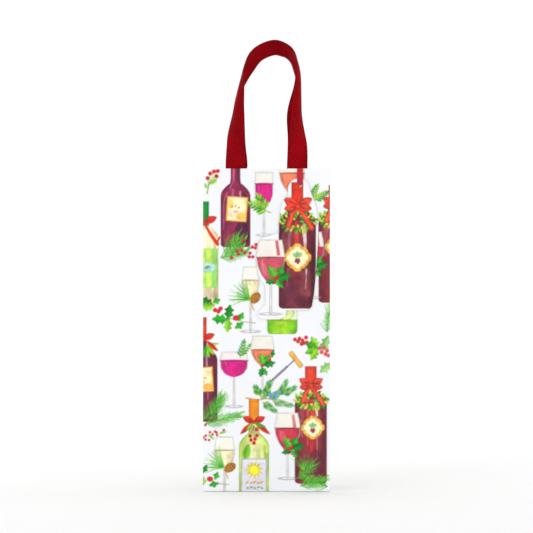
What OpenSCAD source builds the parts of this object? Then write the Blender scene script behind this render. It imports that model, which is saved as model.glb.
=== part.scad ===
// Wine gift bag: a tall square-bottomed paper carrier for one bottle, with two webbing handles,
// a turned-over top edge with card under it, a loose base board, and a card tag on a ribbon.
// The origin is at the middle of the base on the resting surface. The front faces -Y, +Z is up.
// The paper is one sheet. It is split here at its creases, because each panel turns by itself
// when the bag is folded flat.

/* [Bag] */
// width across the front
bag_width = 127; // [80:1:200]
// depth of the gussets
bag_depth = 90; // [60:1:140]
// height of the walls
bag_height = 323; // [250:1:420]
// thickness of the paper
paper = 0.3; // [0.2:0.05:0.5]
// height of the turned-over top edge
hem_height = 36; // [20:1:60]
// width of the glued seam flap in the rear corner
seam_width = 12; // [8:1:20]

/* [Reinforcement] */
// thickness of the card under the top edge
card = 0.5; // [0.3:0.1:1.0]
// thickness of the loose base board
board = 0.6; // [0.4:0.1:1.5]
// space left around the base board
board_gap = 1.6; // [1:0.1:4]

/* [Handles] */
// width of the webbing
tape_width = 20; // [12:1:30]
// thickness of the webbing
tape = 1.1; // [0.8:0.1:1.5]
// distance of each leg from the middle of the bag
leg_x = 31; // [20:1:45]
// glued length of each end inside the bag
anchor_length = 30; // [20:1:50]
// height scale of the front handle
front_rise = 1.0; // [0.8:0.01:1.2]
// height scale of the back handle
back_rise = 1.045; // [0.8:0.01:1.2]
// outward lean of each loop at its top
lean = 10; // [0:0.5:15]

/* [Tag] */
// thickness of the tag card
tag = 0.5; // [0.3:0.1:1.0]
// width of the tag's ribbon
ribbon_width = 6; // [3:0.5:10]
// thickness of the ribbon
ribbon = 0.25; // [0.15:0.05:0.4]
// place of the ribbon across the front
ribbon_x = 33.5; // [20:0.5:45]
// height of the tag's hole
hole_z = 306; // [290:1:315]
// radius of the tag's hole
hole_r = 2; // [1.5:0.1:4]

/* [View] */
// node to draw

/* [Hidden] */
w = bag_width / 2;
d = bag_depth / 2;
h = bag_height;
t = paper;
gap = 0.05;
// the stack of base layers: back flap, front flap, side flaps
layers = 3 * t;
base_top = 1.5;
wall_z = base_top + 0.1;
// height of the crease that lets the base fold up behind the back panel
crease_z = d + base_top;
// the card and the hem stop short of the corners, so that the gussets have room when folded
card_inset = 8;
hem_inset = 11;
slack = 0.35;
hem_face = d - t - card - t;
tape_face = hem_face - slack;
tape_mid = tape_face - tape / 2;
hem_z = h - hem_height;
anchor_z = h + 0.1;
paper_white = [0.95, 0.95, 0.96];
card_grey = [0.72, 0.70, 0.66];
red = [0.66, 0.03, 0.08];

module plate(x0, x1, y0, y1, z0, z1) {
    translate([x0, y0, z0]) cube([x1 - x0, y1 - y0, z1 - z0]);
}

// a sheet of paper in the plane of a side wall, from its outline in y and z
module side_sheet(side, points) {
    x0 = side > 0 ? w - t : -w;
    translate([x0, 0, 0])
        rotate([90, 0, 90])
            linear_extrude(height = t) polygon(points);
}

module front_panel() {
    color(paper_white) plate(-w, w, -d, -d + t, wall_z, h);
}

module back_panel() {
    color(paper_white) plate(-w, w, d - t, d, crease_z + gap, h);
}

module back_base_strip() {
    color(paper_white) plate(-w, w, d - t, d, wall_z, crease_z - gap);
}

// the rear half of a gusset, above the crease that goes round the back of the bag
module gusset_rear(side) {
    color(paper_white) side_sheet(side, [
        [gap, crease_z + gap],
        [d - t - gap, crease_z + gap],
        [d - t - gap, h],
        [gap, h]
    ]);
}

// the front half of a gusset, above its sloping crease
module gusset_front(side) {
    color(paper_white) side_sheet(side, [
        [-d + t + gap, wall_z + 0.4],
        [-gap, crease_z + 0.3],
        [-gap, h],
        [-d + t + gap, h]
    ]);
}

// the small rear corner below the crease, which folds up with the strip
module corner(side) {
    color(paper_white) side_sheet(side, [
        [d - t - gap, wall_z + 0.4],
        [d - t - gap, crease_z - gap],
        [0.4, crease_z - gap]
    ]);
}

// the triangle that folds in over the base
module triangle(side) {
    color(paper_white) side_sheet(side, [
        [-d + t + 0.4 + wall_z, wall_z],
        [d - t - 0.4 - wall_z, wall_z],
        [0, crease_z - 0.85]
    ]);
}

module gusset_left_front() { gusset_front(-1); }
module gusset_left_rear() { gusset_rear(-1); }
module gusset_right_front() { gusset_front(1); }
module gusset_right_rear() { gusset_rear(1); }
module corner_left() { corner(-1); }
module corner_right() { corner(1); }
module triangle_left() { triangle(-1); }
module triangle_right() { triangle(1); }

// the base: the back flap is outermost, and laps under the front flap
module bottom_back_flap() {
    color(paper_white) plate(-w, w, -12, d, 0, t);
}

module bottom_front_flap() {
    color(paper_white) union() {
        plate(-w, w, -d, 14, t, 2 * t);
        plate(-w, w, -d, -12.2, 0, t);
    }
}

module side_flap(side) {
    mirror([side < 0 ? 1 : 0, 0, 0])
        translate([0, 0, 2 * t]) linear_extrude(height = t)
            polygon([[w, -d], [w, d], [20, 26], [20, -26]]);
}

module bottom_left_flap() {
    color(paper_white) side_flap(-1);
}

module bottom_right_flap() {
    color(paper_white) side_flap(1);
}

module bottom_board() {
    color(card_grey)
        translate([0, 0, layers]) linear_extrude(height = board)
            offset(r = 3, $fn = 32)
                square([bag_width - 2 * (t + board_gap) - 6,
                    bag_depth - 2 * (t + board_gap) - 6], center = true);
}

module side_seam_flap() {
    color(paper_white)
        plate(w - t - seam_width, w - t - 4, d - 2 * t, d - t, crease_z + 1, hem_z - 1);
}

// the top edge: card against the panel, and the paper turned in over it
module wall_card(side) {
    y0 = side < 0 ? -d + t : d - t - card;
    color(card_grey) plate(-w + card_inset, w - card_inset, y0, y0 + card, hem_z + 2, h - t);
}

module wall_hem(side) {
    y0 = side < 0 ? -hem_face - t : hem_face;
    ya = side < 0 ? -d + t : hem_face + t;
    color(paper_white) union() {
        plate(-w + card_inset, w - card_inset, y0, y0 + t, hem_z, h);
        plate(-w + card_inset, w - card_inset, ya, ya + card, h - t, h);
    }
}

module front_card() { wall_card(-1); }
module back_card() { wall_card(1); }
module front_hem() { wall_hem(-1); }
module back_hem() { wall_hem(1); }

module gusset_hem(side, end) {
    x0 = side > 0 ? w - 2 * t : -w + t;
    y0 = end > 0 ? 1 : -d + t + hem_inset;
    y1 = end > 0 ? d - t - hem_inset : -1;
    color(paper_white) plate(x0, x0 + t, y0, y1, hem_z, h);
}

module hem_left_front() { gusset_hem(-1, -1); }
module hem_left_rear() { gusset_hem(-1, 1); }
module hem_right_front() { gusset_hem(1, -1); }
module hem_right_rear() { gusset_hem(1, 1); }

// Stations of a handle loop: across, height above the rim, and turn of the tape's outer face.
// A turn of 0 faces outwards from the wall, 90 faces away from the loop's middle, and more than
// 90 lies over, so that the arch shows its under side.
STATIONS = [
    [-31, 1.5, 0], [-30.8, 18, 19], [-31, 35, 32], [-29.8, 61, 59], [-27.4, 76, 78],
    [-24, 89, 98], [-18.8, 101.5, 122], [-8.5, 113.5, 131], [7, 119.8, 132],
    [18.8, 117, 125], [25, 112.5, 116], [29.3, 106, 104], [31.8, 97, 94], [32.7, 87, 84],
    [32.4, 71, 66], [31.7, 54, 52], [31.4, 37, 38], [31.4, 20, 16], [31, 1.5, 0]];
LAST = len(STATIONS) - 1;
STEPS = 4;

function spline(a, b, c, e, u) =
    0.5 * (2 * b + (c - a) * u + (2 * a - 5 * b + 4 * c - e) * u * u
    + (3 * b - a - 3 * c + e) * u * u * u);

function station(k) = STATIONS[max(0, min(LAST, k))];

// a point along the loop, where i counts STEPS for each station
function along(i) =
    let (k = min(LAST - 1, floor(i / STEPS)), u = i / STEPS - k)
    spline(station(k - 1), station(k), station(k + 1), station(k + 2), u);

function unit(v) = v / norm(v);

// the four corners of the tape where i counts STEPS for each station
function section(i, rise) =
    let (
        p = along(i),
        q = unit(along(min(i + 1, LAST * STEPS)) - along(max(i - 1, 0))),
        flat = i == 0 ? [0, 1] : i == LAST * STEPS ? [0, -1] : unit([q[0], q[1]]),
        out = [-flat[1], 0, flat[0]],
        face = cos(p[2]) * [0, -1, 0] + sin(p[2]) * out,
        wide = cross([flat[0], 0, flat[1]], face),
        mid = [p[0] * leg_x / 31, -lean * p[1] / 120, p[1] * rise],
        a = wide * tape_width / 2,
        b = face * tape / 2
    )
    [mid - a - b, mid + a - b, mid + a + b, mid - a + b];

module loop(rise) {
    n = LAST * STEPS;
    rings = [for (i = [0:n]) section(i, rise)];
    points = [for (r = rings, c = r) c];
    sides = [for (i = [0:n - 1], j = [0:3])
        let (a = 4 * i + j, b = 4 * i + (j + 1) % 4)
        each [[a, a + 4, b], [b, a + 4, b + 4]]];
    polyhedron(points = points, faces = concat(sides,
        [[0, 1, 2], [0, 2, 3], [4 * n + 2, 4 * n + 1, 4 * n], [4 * n + 3, 4 * n + 2, 4 * n]]));
}

module front_handle() {
    color(red) translate([0, -tape_mid, h]) loop(front_rise);
}

module back_handle() {
    color(red) rotate([0, 0, 180]) mirror([1, 0, 0]) translate([0, -tape_mid, h]) loop(back_rise);
}

module anchor(side, x) {
    y0 = side < 0 ? -tape_face : tape_face - tape;
    color(red) plate(x - tape_width / 2, x + tape_width / 2, y0, y0 + tape,
        h - anchor_length, anchor_z);
}

module front_anchor_left() { anchor(-1, -leg_x); }
module front_anchor_right() { anchor(-1, leg_x); }
module back_anchor_left() { anchor(1, -leg_x); }
module back_anchor_right() { anchor(1, leg_x); }

// The ribbon is tucked behind the turned-in edge, goes over the rim and hangs in front. Its loop
// passes behind the tag, through the hole and back up in front. It bends at the rim.
ribbon_y = -d - 0.15;
tag_y = -d - 0.75;

module ribbon_tuck() {
    r = ribbon_width / 2;
    color(red) union() {
        plate(ribbon_x - r, ribbon_x + r, -hem_face + 0.05, -hem_face + 0.05 + ribbon,
            h - 24, h + 0.1 + ribbon);
        plate(ribbon_x - r, ribbon_x + r, ribbon_y + 0.03, -hem_face + 0.05 + ribbon,
            h + 0.1, h + 0.1 + ribbon);
    }
}

module tag_ribbon() {
    r = ribbon_width / 2;
    front_y = tag_y - tag - 0.25;
    color(red) union() {
        plate(ribbon_x - r, ribbon_x + r, ribbon_y - ribbon, ribbon_y, hole_z - 1, h);
        plate(ribbon_x - 1.2, ribbon_x + 1.2, front_y - ribbon, ribbon_y, hole_z + 0.9, hole_z + 1.4);
        translate([ribbon_x - r, 0, 0]) rotate([90, 0, 90]) linear_extrude(height = ribbon_width)
            polygon([[front_y - ribbon, hole_z - 1], [front_y, hole_z - 1], [front_y, hole_z + 9],
                [ribbon_y - ribbon / 2, h - 3], [ribbon_y - ribbon, h - 2],
                [front_y - ribbon, hole_z + 9.2]]);
    }
}

// the tag's outline: a bottle with a round cap, and a stemmed glass beside it
module bottle_outline() {
    union() {
        translate([32.5, 302]) circle(r = 11.2, $fn = 48);
        polygon([[21.3, 302], [21.3, 296], [16.6, 291], [13.6, 282], [12.2, 268], [12.2, 190],
            [17, 181], [41, 181], [45.2, 185], [47.5, 198], [50, 226], [51.5, 250],
            [51.5, 270], [50, 285], [46, 295], [43.7, 302]]);
    }
}

module glass_outline() {
    union() {
        polygon([[13, 259], [-3, 254.5], [-7.5, 251], [-10.2, 242], [-10.9, 232], [-9.2, 219],
            [-5.5, 210], [-1.5, 206], [-1.5, 188], [-6, 183], [-10, 178], [-9, 173.5],
            [-3, 172], [13, 172], [19, 174.5], [20, 181], [20, 259]]);
    }
}

module gift_tag() {
    color(paper_white)
        translate([0, tag_y, 0]) rotate([90, 0, 0]) linear_extrude(height = tag)
            difference() {
                union() {
                    bottle_outline();
                    glass_outline();
                }
                translate([ribbon_x, hole_z]) circle(r = hole_r, $fn = 32);
            }
}

front_panel();
back_panel();
back_base_strip();
gusset_left_front();
gusset_left_rear();
gusset_right_front();
gusset_right_rear();
corner_left();
corner_right();
triangle_left();
triangle_right();
bottom_front_flap();
bottom_back_flap();
bottom_left_flap();
bottom_right_flap();
bottom_board();
side_seam_flap();
front_hem();
back_hem();
hem_left_front();
hem_left_rear();
hem_right_front();
hem_right_rear();
front_card();
back_card();
front_handle();
back_handle();
front_anchor_left();
front_anchor_right();
back_anchor_left();
back_anchor_right();
ribbon_tuck();
tag_ribbon();
gift_tag();
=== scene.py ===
"""Wine gift bag: a printed paper carrier with webbing handles and a card tag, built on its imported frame."""

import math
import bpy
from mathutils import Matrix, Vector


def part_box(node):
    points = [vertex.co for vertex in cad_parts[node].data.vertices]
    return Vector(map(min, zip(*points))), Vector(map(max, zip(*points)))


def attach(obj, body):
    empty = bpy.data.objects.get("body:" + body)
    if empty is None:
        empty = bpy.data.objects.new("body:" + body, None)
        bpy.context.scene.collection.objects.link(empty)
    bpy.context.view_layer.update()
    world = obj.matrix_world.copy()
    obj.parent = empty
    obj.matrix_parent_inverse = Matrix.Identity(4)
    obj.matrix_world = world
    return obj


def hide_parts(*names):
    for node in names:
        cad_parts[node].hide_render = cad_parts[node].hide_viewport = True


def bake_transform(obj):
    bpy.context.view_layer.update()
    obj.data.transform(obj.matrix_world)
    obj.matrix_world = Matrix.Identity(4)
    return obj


bl_info = {
    "name": "Wine gift bag",
    "version": (1, 0, 0),
    "blender": (4, 2, 0),
    "location": "View3D > Sidebar > Gift bag",
    "description": "Builds the printed paper, webbing handles, ribbon, tag, board and studio",
    "category": "Object",
}

import bpy
import numpy as np
from bpy.props import FloatProperty, FloatVectorProperty, PointerProperty
from mathutils import Vector
from mathutils.geometry import delaunay_2d_cdt

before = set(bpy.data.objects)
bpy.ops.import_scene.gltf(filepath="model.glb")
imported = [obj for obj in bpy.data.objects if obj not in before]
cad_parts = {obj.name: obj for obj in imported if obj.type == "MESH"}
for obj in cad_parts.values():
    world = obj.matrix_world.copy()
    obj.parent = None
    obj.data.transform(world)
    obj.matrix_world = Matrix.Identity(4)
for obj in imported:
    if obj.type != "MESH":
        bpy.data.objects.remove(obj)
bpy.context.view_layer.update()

MM = 0.001
CREASE_GAP = 0.05  # the CAD leaves this much, in mm, between panels at a crease


def corners(node):
    """A CAD node's lowest and highest corners at rest, in mm."""
    return [np.array(corner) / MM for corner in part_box(node)]


def unit(rows):
    """Rows of numbers scaled to length one."""
    return rows / np.linalg.norm(rows, axis=1, keepdims=True)


def quads(grid):
    """The four-sided faces between the neighbouring points of a grid of point numbers."""
    return np.stack((grid[:-1, :-1], grid[:-1, 1:], grid[1:, 1:], grid[1:, :-1]), -1).reshape(-1, 4)


FRONT_LOW, FRONT_HIGH = corners("front_panel")
HALF_W = float(FRONT_HIGH[0])
HALF_D = float(-FRONT_LOW[1])
HEIGHT = float(FRONT_HIGH[2])
BACK_CREASE = float(corners("back_panel")[0][2]) - CREASE_GAP
ANCHOR = corners("front_anchor_left")
ANCHOR_LOW = float(ANCHOR[0][2])
ANCHOR_Y = [float(corner[1]) for corner in ANCHOR]
TAPE_MID = -(ANCHOR_Y[0] + ANCHOR_Y[1]) / 2
SHEET = 4 * (HALF_W + HALF_D)
FOOT = BACK_CREASE - HALF_D
ANCHOR_WIDTH = float(ANCHOR[1][0] - ANCHOR[0][0])
PAINTED = []


def edge_zone(start, sign, node, axis, outer):
    """Where a turned-in edge lies along the sheet, and the radius of its fold: half the depth from the wall's
    outer side."""
    low, high = corners(node)
    ends = sorted(start + sign * np.array((low[axis], high[axis])))
    inner = min(abs(low[1 - axis]), abs(high[1 - axis]))
    return float(ends[0]), float(ends[1]), float((outer - inner) / 2)


FRONT_EDGE = edge_zone(HALF_W, 1, "front_hem", 0, HALF_D)
BACK_EDGE = edge_zone(3 * HALF_W + 2 * HALF_D, -1, "back_hem", 0, HALF_D)
RIGHT_MIDDLE, LEFT_MIDDLE = 2 * HALF_W + HALF_D, 4 * HALF_W + 3 * HALF_D
GUSSET_EDGES = {
    f"{word}_{half}": edge_zone(middle, sign, f"hem_{word}_{half}", 1, HALF_W)
    for word, sign, middle in (("right", 1, RIGHT_MIDDLE), ("left", -1, LEFT_MIDDLE))
    for half in ("front", "rear")
}

# ---------------------------------------------------------------- colours of the print

WHITE = (0.97, 0.975, 0.99)
CLARET = (0.44, 0.09, 0.23)
CLARET_LIGHT = (0.80, 0.36, 0.55)
WINE_RED = (0.82, 0.21, 0.30)
MAGENTA = (0.87, 0.09, 0.52)
ROSE = (1.0, 0.53, 0.38)
STRAW = (1.0, 0.96, 0.78)
LIME = (0.66, 0.88, 0.15)
LIME_DARK = (0.36, 0.72, 0.08)
GOLD = (0.99, 0.74, 0.30)
CREAM = (1.0, 0.93, 0.72)
LEAF = (0.16, 0.73, 0.11)
LEAF_DARK = (0.04, 0.56, 0.09)
LEAF_LIGHT = (0.58, 0.88, 0.16)
BERRY = (0.92, 0.03, 0.09)
BOW = (0.95, 0.17, 0.08)
BOW_DARK = (0.76, 0.06, 0.06)
GLASS = (0.955, 0.94, 0.90)
GLASS_LINE = (0.70, 0.71, 0.70)
WOOD = (0.88, 0.60, 0.20)
AMBER = (0.98, 0.58, 0.08)
CLARET_CORE = (0.60, 0.16, 0.32)
TWIG = (0.8, 0.62, 0.3)
STALK = (0.5, 0.6, 0.3)
PINES = ((0.14, 0.66, 0.13), (0.05, 0.50, 0.14), (0.46, 0.82, 0.18), (0.24, 0.73, 0.28), (0.66, 0.88, 0.24))
SOFT_EDGE = 0.85  # mm over which a mark fades out at its edge
CELL = 0.5  # mm between painted points
REPEAT = 336.0  # height of one repeat of the pattern, in mm
BELOW, ABOVE = 64, 42  # mm painted past the foot and past the rim
FLOOR_GAP = 0.2  # mm from the foot down to the floor, so that the two don't share a plane
RIM_CELLS, RIM_FOLD = 1.4, 0.6  # mm below the rim at which the last even line and the rim's own line stand


def linear(colour):
    """Screen colour to linear light: c / 12.92 near black, and ((c + 0.055) / 1.055) to the power 2.4
    above."""
    c = np.clip(np.asarray(colour, float), 0, 1)
    return np.where(c <= 0.04045, c / 12.92, ((c + 0.055) / 1.055) ** 2.4)


def cloud(x, y, size):
    """Soft blotches from -1 to 1: two layers of made-up numbers on a lattice, joined by smooth steps between
    its points."""

    def layer(a, b):
        i, j = np.floor(a), np.floor(b)
        p, q = a - i, b - j
        p, q = p * p * (3 - 2 * p), q * q * (3 - 2 * q)

        def pick(m, n):
            h = np.sin(m * 12.9898 + n * 78.233) * 43758.5453
            return h - np.floor(h)

        low = pick(i, j) * (1 - p) + pick(i + 1, j) * p
        high = pick(i, j + 1) * (1 - p) + pick(i + 1, j + 1) * p
        return 2 * (low * (1 - q) + high * q) - 1

    turned_x, turned_y = 0.8 * x + 0.6 * y, 0.8 * y - 0.6 * x
    fine = layer(turned_x * 2.3 / size + 7.7, turned_y * 2.3 / size + 3.1)
    return 0.65 * layer(x / size, y / size) + 0.45 * fine


class Canvas:
    """A printed area: colours at every crossing of the across lines u and the up lines v, in mm."""

    def __init__(self, u, v):
        self.u, self.v = np.asarray(u, float), np.asarray(v, float)
        x, y = np.meshgrid(self.u, self.v)
        self.rgb = np.array(WHITE) * (1 - 0.012 * (cloud(x, y, 70)[..., None] + 1))
        self.shift = self.lift = 0.0

    def window(self, x, y, rx, ry):
        """The part of the area within rx and ry of a point, and its own coordinates from that point."""
        x, y = x + self.shift, y + self.lift
        i0, i1 = np.searchsorted(self.u, (x - rx, x + rx))
        j0, j1 = np.searchsorted(self.v, (y - ry, y + ry))
        if i1 <= i0 or j1 <= j0:
            return None
        px, py = np.meshgrid(self.u[i0:i1] - x, self.v[j0:j1] - y)
        return (slice(j0, j1), slice(i0, i1)), px, py

    def lay(self, part, d, colour, px, py, alpha=1.0, rim=0.12, wash=0.12, size=6.0):
        """Lays colour where the distance d is below zero. It blots a little, and gathers at its rim as wet
        paint does."""
        tint = 1 + wash * cloud(px + 3.1 * self.v[part[0]][0], py + 17,
                                size) - rim * np.exp(-((d / 0.7) ** 2))
        ink = np.clip(np.asarray(colour, float) * tint[..., None], 0, 1)
        cover = np.clip(0.5 - d / SOFT_EDGE, 0, 1) * alpha
        self.rgb[part] += (ink - self.rgb[part]) * cover[..., None]


def turned(px, py, angle):
    """Coordinates along and across a direction at angle degrees."""
    c, s = math.cos(math.radians(angle)), math.sin(math.radians(angle))
    return px * c + py * s, py * c - px * s


def ellipse(c, x, y, rx, ry, colour, angle=0, **k):
    """Distance is how far the scaled radius is past one, times the smaller radius."""
    w = c.window(x, y, max(rx, ry) + 1.5, max(rx, ry) + 1.5)
    if w:
        p, q = turned(w[1], w[2], angle)
        c.lay(w[0], (np.hypot(p / rx, q / ry) - 1) * min(rx, ry), colour, w[1], w[2], **k)


def stroke(c, points, wide, colour, end=None, **k):
    """A line through points that tapers from one half width to another: distance to the nearest segment less
    its width there."""
    points = np.asarray(points, float)
    lo, hi = points.min(0), points.max(0)
    mid, half = (lo + hi) / 2, (hi - lo) / 2 + wide + 1.5
    w = c.window(mid[0], mid[1], half[0], half[1])
    if not w:
        return
    end = wide if end is None else end
    d = np.full(w[1].shape, 1e3)
    n = len(points) - 1
    for i in range(n):
        a, b = points[i] - mid, points[i + 1] - mid
        ab = b - a
        t = np.clip(((w[1] - a[0]) * ab[0] + (w[2] - a[1]) * ab[1]) / max(ab @ ab, 1e-9), 0, 1)
        thick = wide + (end - wide) * (i + t) / n
        d = np.minimum(d, np.hypot(w[1] - a[0] - t * ab[0], w[2] - a[1] - t * ab[1]) - thick)
    c.lay(w[0], d, colour, w[1], w[2], **k)


def leaf(c, x, y, length, width, angle, colour, teeth=0, vein=True, **k):
    """A pointed leaf: its half width is a sine along its length, and holly's is cut by a few arches."""
    a = math.radians(angle)
    mx, my = x + length / 2 * math.cos(a), y + length / 2 * math.sin(a)
    w = c.window(mx, my, length / 2 + 2, length / 2 + 2)
    if not w:
        return
    p, q = turned(w[1], w[2], angle)
    t = np.clip(p / length + 0.5, 0, 1)
    half = width / 2 * np.sin(math.pi * t) ** 0.8
    if teeth:
        half = half * (0.66 + 0.52 * np.abs(np.cos(math.pi * teeth * t)) ** 2.6)
    d = np.maximum(np.abs(q) - half, np.abs(p) - length / 2)
    shade = np.asarray(colour, float) * (1 - 0.16 * rise(0.5 + q / 0.8))[..., None]
    c.lay(w[0], d, shade, w[1], w[2], **k)
    if vein:
        light = np.asarray(colour, float) * 0.6 + np.array((0.3, 0.38, 0.1))
        dv = np.maximum(np.abs(q) - 0.22, np.abs(p) - length * 0.42)
        c.lay(w[0], dv, light, w[1], w[2], alpha=0.55, rim=0)


def body(c, x, y, heights, halves, colour, angle=0, core=None, **k):
    """A shape that is symmetrical about its own upright line: the half width is read from a profile of
    heights."""
    top = max(heights) - min(heights)
    wide = max(halves)
    a = math.radians(angle)
    mid = (max(heights) + min(heights)) / 2
    w = c.window(x - mid * math.sin(a), y + mid * math.cos(a), wide + top / 2 + 2,
                 top / 2 + wide * abs(math.sin(a)) + 2)
    if not w:
        return
    q, p = turned(w[1], w[2], angle)
    half = np.interp(p + mid, heights, halves)
    d = np.maximum(np.abs(q) - half, np.abs(p) - top / 2)
    ink = np.asarray(colour, float)
    if core is not None:
        across = np.clip(np.abs(q) / np.maximum(half, 0.1), 0, 1)[..., None]
        ink = np.asarray(core, float) * (1 - across**2) + ink * across**2
    c.lay(w[0], d, ink, w[1], w[2], **k)


def berries(c, places, r=1.7, colour=BERRY):
    """Round berries, each with a small light spot at its upper left."""
    for x, y in places:
        ellipse(c, x, y, r, r, colour, rim=0.25, wash=0.05)
        ellipse(c, x - 0.4 * r, y + 0.4 * r, 0.28 * r, 0.24 * r, (1, 0.75, 0.7), alpha=0.7, rim=0)


def sprig(c, x, y, length, angle, size, colours, pairs=5, slim=0.34):
    """A stem with leaves in pairs."""
    a = math.radians(angle)
    dx, dy = math.cos(a), math.sin(a)
    stroke(c, [(x, y), (x + length * dx, y + length * dy)], 0.45, (0.55, 0.62, 0.2), end=0.25, rim=0)
    for i in range(pairs):
        t = (i + 0.6) / pairs
        for side in (-1, 1):
            grow = size * (1.05 - 0.35 * t)
            leaf(c, x + t * length * dx, y + t * length * dy, grow, grow * slim, angle + side * (52 - 18 * t),
                 colours[(2 * i + (side > 0)) % len(colours)], vein=False)
    leaf(c, x + length * dx, y + length * dy, size * 0.8, size * 0.9 * slim, angle, colours[0], vein=False)


def pine(c, x, y, length, angle, needle, rows=16, spread=44, colours=PINES, wide=0.34):
    """A pine twig: rows of thin needles that lean forward from both sides of a stem."""
    a = math.radians(angle)
    stroke(c, [(x, y), (x + length * math.cos(a), y + length * math.sin(a))], 0.5, (0.45, 0.52, 0.16),
           end=0.3, alpha=0.8, rim=0)
    rows = int(1.5 * rows)
    for i in range(rows):
        t = i / (rows - 1)
        sx, sy = x + t * length * math.cos(a), y + t * length * math.sin(a)
        for side in (-1, 1):
            turn = angle + side * (spread * (1 - 0.55 * t) + 7 * math.sin(3.1 * i + side))
            b = math.radians(turn)
            b2 = math.radians(turn - side * 12)
            far = needle * (1 - 0.25 * t) * (0.86 + 0.14 * math.sin(5.3 * i + 2 * side))
            m = (sx + 0.5 * far * math.cos(b), sy + 0.5 * far * math.sin(b))
            e = (m[0] + 0.5 * far * math.cos(b2), m[1] + 0.5 * far * math.sin(b2))
            stroke(c, [(sx, sy), m, e], wide, colours[(3 * i + (side > 0)) % len(colours)], end=0.12,
                   alpha=0.85, rim=0.05)


def fan(c, x, y, needle, angle, spread, count, colours=PINES, wide=0.4):
    """Long needles that spring from one point."""
    for i in range(count):
        turn = angle + spread * (i / (count - 1) - 0.5) + 3 * math.sin(7.7 * i)
        b = math.radians(turn)
        b2 = math.radians(turn + 10 * math.sin(2.3 * i))
        far = needle * (0.78 + 0.22 * math.sin(4.1 * i + 1))
        m = (x + 0.5 * far * math.cos(b), y + 0.5 * far * math.sin(b))
        e = (m[0] + 0.5 * far * math.cos(b2), m[1] + 0.5 * far * math.sin(b2))
        stroke(c, [(x, y), m, e], wide, colours[i % len(colours)], end=0.12, alpha=0.85, rim=0.05)


def cone(c, x, y, length, width, angle):
    """A pine cone: an oval with rows of darker scales."""
    ellipse(c, x, y, length / 2, width / 2, (0.72, 0.47, 0.14), angle=angle)
    w = c.window(x, y, length, length)
    if w:
        p, q = turned(w[1], w[2], angle)
        inside = np.hypot(p / (length / 2), q / (width / 2)) - 0.95
        scales = np.sin(p * 2.5 + 0.6 * np.abs(q)) * np.sin(q * 2.7 + 1.5 * np.floor(p / 1.25))
        c.lay(w[0], np.maximum(inside * width / 2, 0.35 - scales), (0.40, 0.24, 0.07), w[1], w[2], alpha=0.8,
              rim=0)
        c.lay(w[0], np.maximum(inside * width / 2, 0.55 + scales), (0.93, 0.72, 0.34), w[1], w[2], alpha=0.6,
              rim=0)


def holly(c, x, y, size, angles, colours=((0.20, 0.70, 0.13), (0.03, 0.55, 0.12), (0.38, 0.78, 0.16)),
          dots=()):
    """Toothed leaves round a point, with berries."""
    for i, turn in enumerate(angles):
        leaf(c, x, y, 1.05 * size, size * 0.60, turn, colours[i % len(colours)], teeth=3, rim=0.2)
    berries(c, [(x + dx, y + dy) for dx, dy in dots], r=size * 0.13)


def bow(c, x, y, s, colour=BOW, dark=BOW_DARK, tails=True, four=False):
    """A ribbon bow: a pair of full loops, or two, each with a darker fold and a light edge, a knot and two
    tails."""
    light = np.clip(np.array(colour) + (0.04, 0.22, 0.16), 0, 1)
    if tails:
        for way, far, drop in ((-1, 0.50, 1.0), (1, 0.72, 1.12)):
            points = [(x, y), (x + way * 0.30 * s, y - 0.45 * s), (x + way * far * s, y - drop * s)]
            stroke(c, points, 0.07 * s, colour, end=0.15 * s, rim=0.25, wash=0.2, size=4)
            stroke(c, points[1:], 0.03 * s, light, end=0.05 * s, rim=0, alpha=0.5)
    loops = ((30, 0.86), (150, 0.86), (-10, 0.74), (190, 0.74)) if four else ((24, 0.86), (156, 0.86))
    for turn, far in loops:
        leaf(c, x, y, far * s, 0.46 * s, turn, colour, vein=False, rim=0.3, wash=0.22, size=4)
        leaf(c, x, y, 0.62 * far * s, 0.17 * s, turn - 4, dark, vein=False, alpha=0.65, rim=0)
        a = math.radians(turn + 14)
        leaf(c, x + 0.3 * far * s * math.cos(a), y + 0.3 * far * s * math.sin(a), 0.5 * far * s, 0.10 * s,
             turn + 4, light, vein=False, alpha=0.6, rim=0)
    ellipse(c, x, y, 0.14 * s, 0.13 * s, colour, rim=0.35)


BOWLS = {
    "straight": ([0, 0.04, 0.12, 0.3, 0.55, 1], [0.10, 0.42, 0.72, 0.96, 1.0, 0.96]),
    "round": ([0, 0.05, 0.15, 0.35, 0.6, 0.85, 1], [0.10, 0.42, 0.72, 0.96, 1.0, 0.97, 0.88]),
    "wine": ([0, 0.06, 0.2, 0.4, 0.58, 0.8, 1], [0.08, 0.34, 0.66, 0.92, 1.0, 0.93, 0.80]),
    "tulip": ([0, 0.06, 0.25, 0.5, 0.75, 1], [0.12, 0.45, 0.82, 1.0, 0.93, 0.78]),
}


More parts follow.
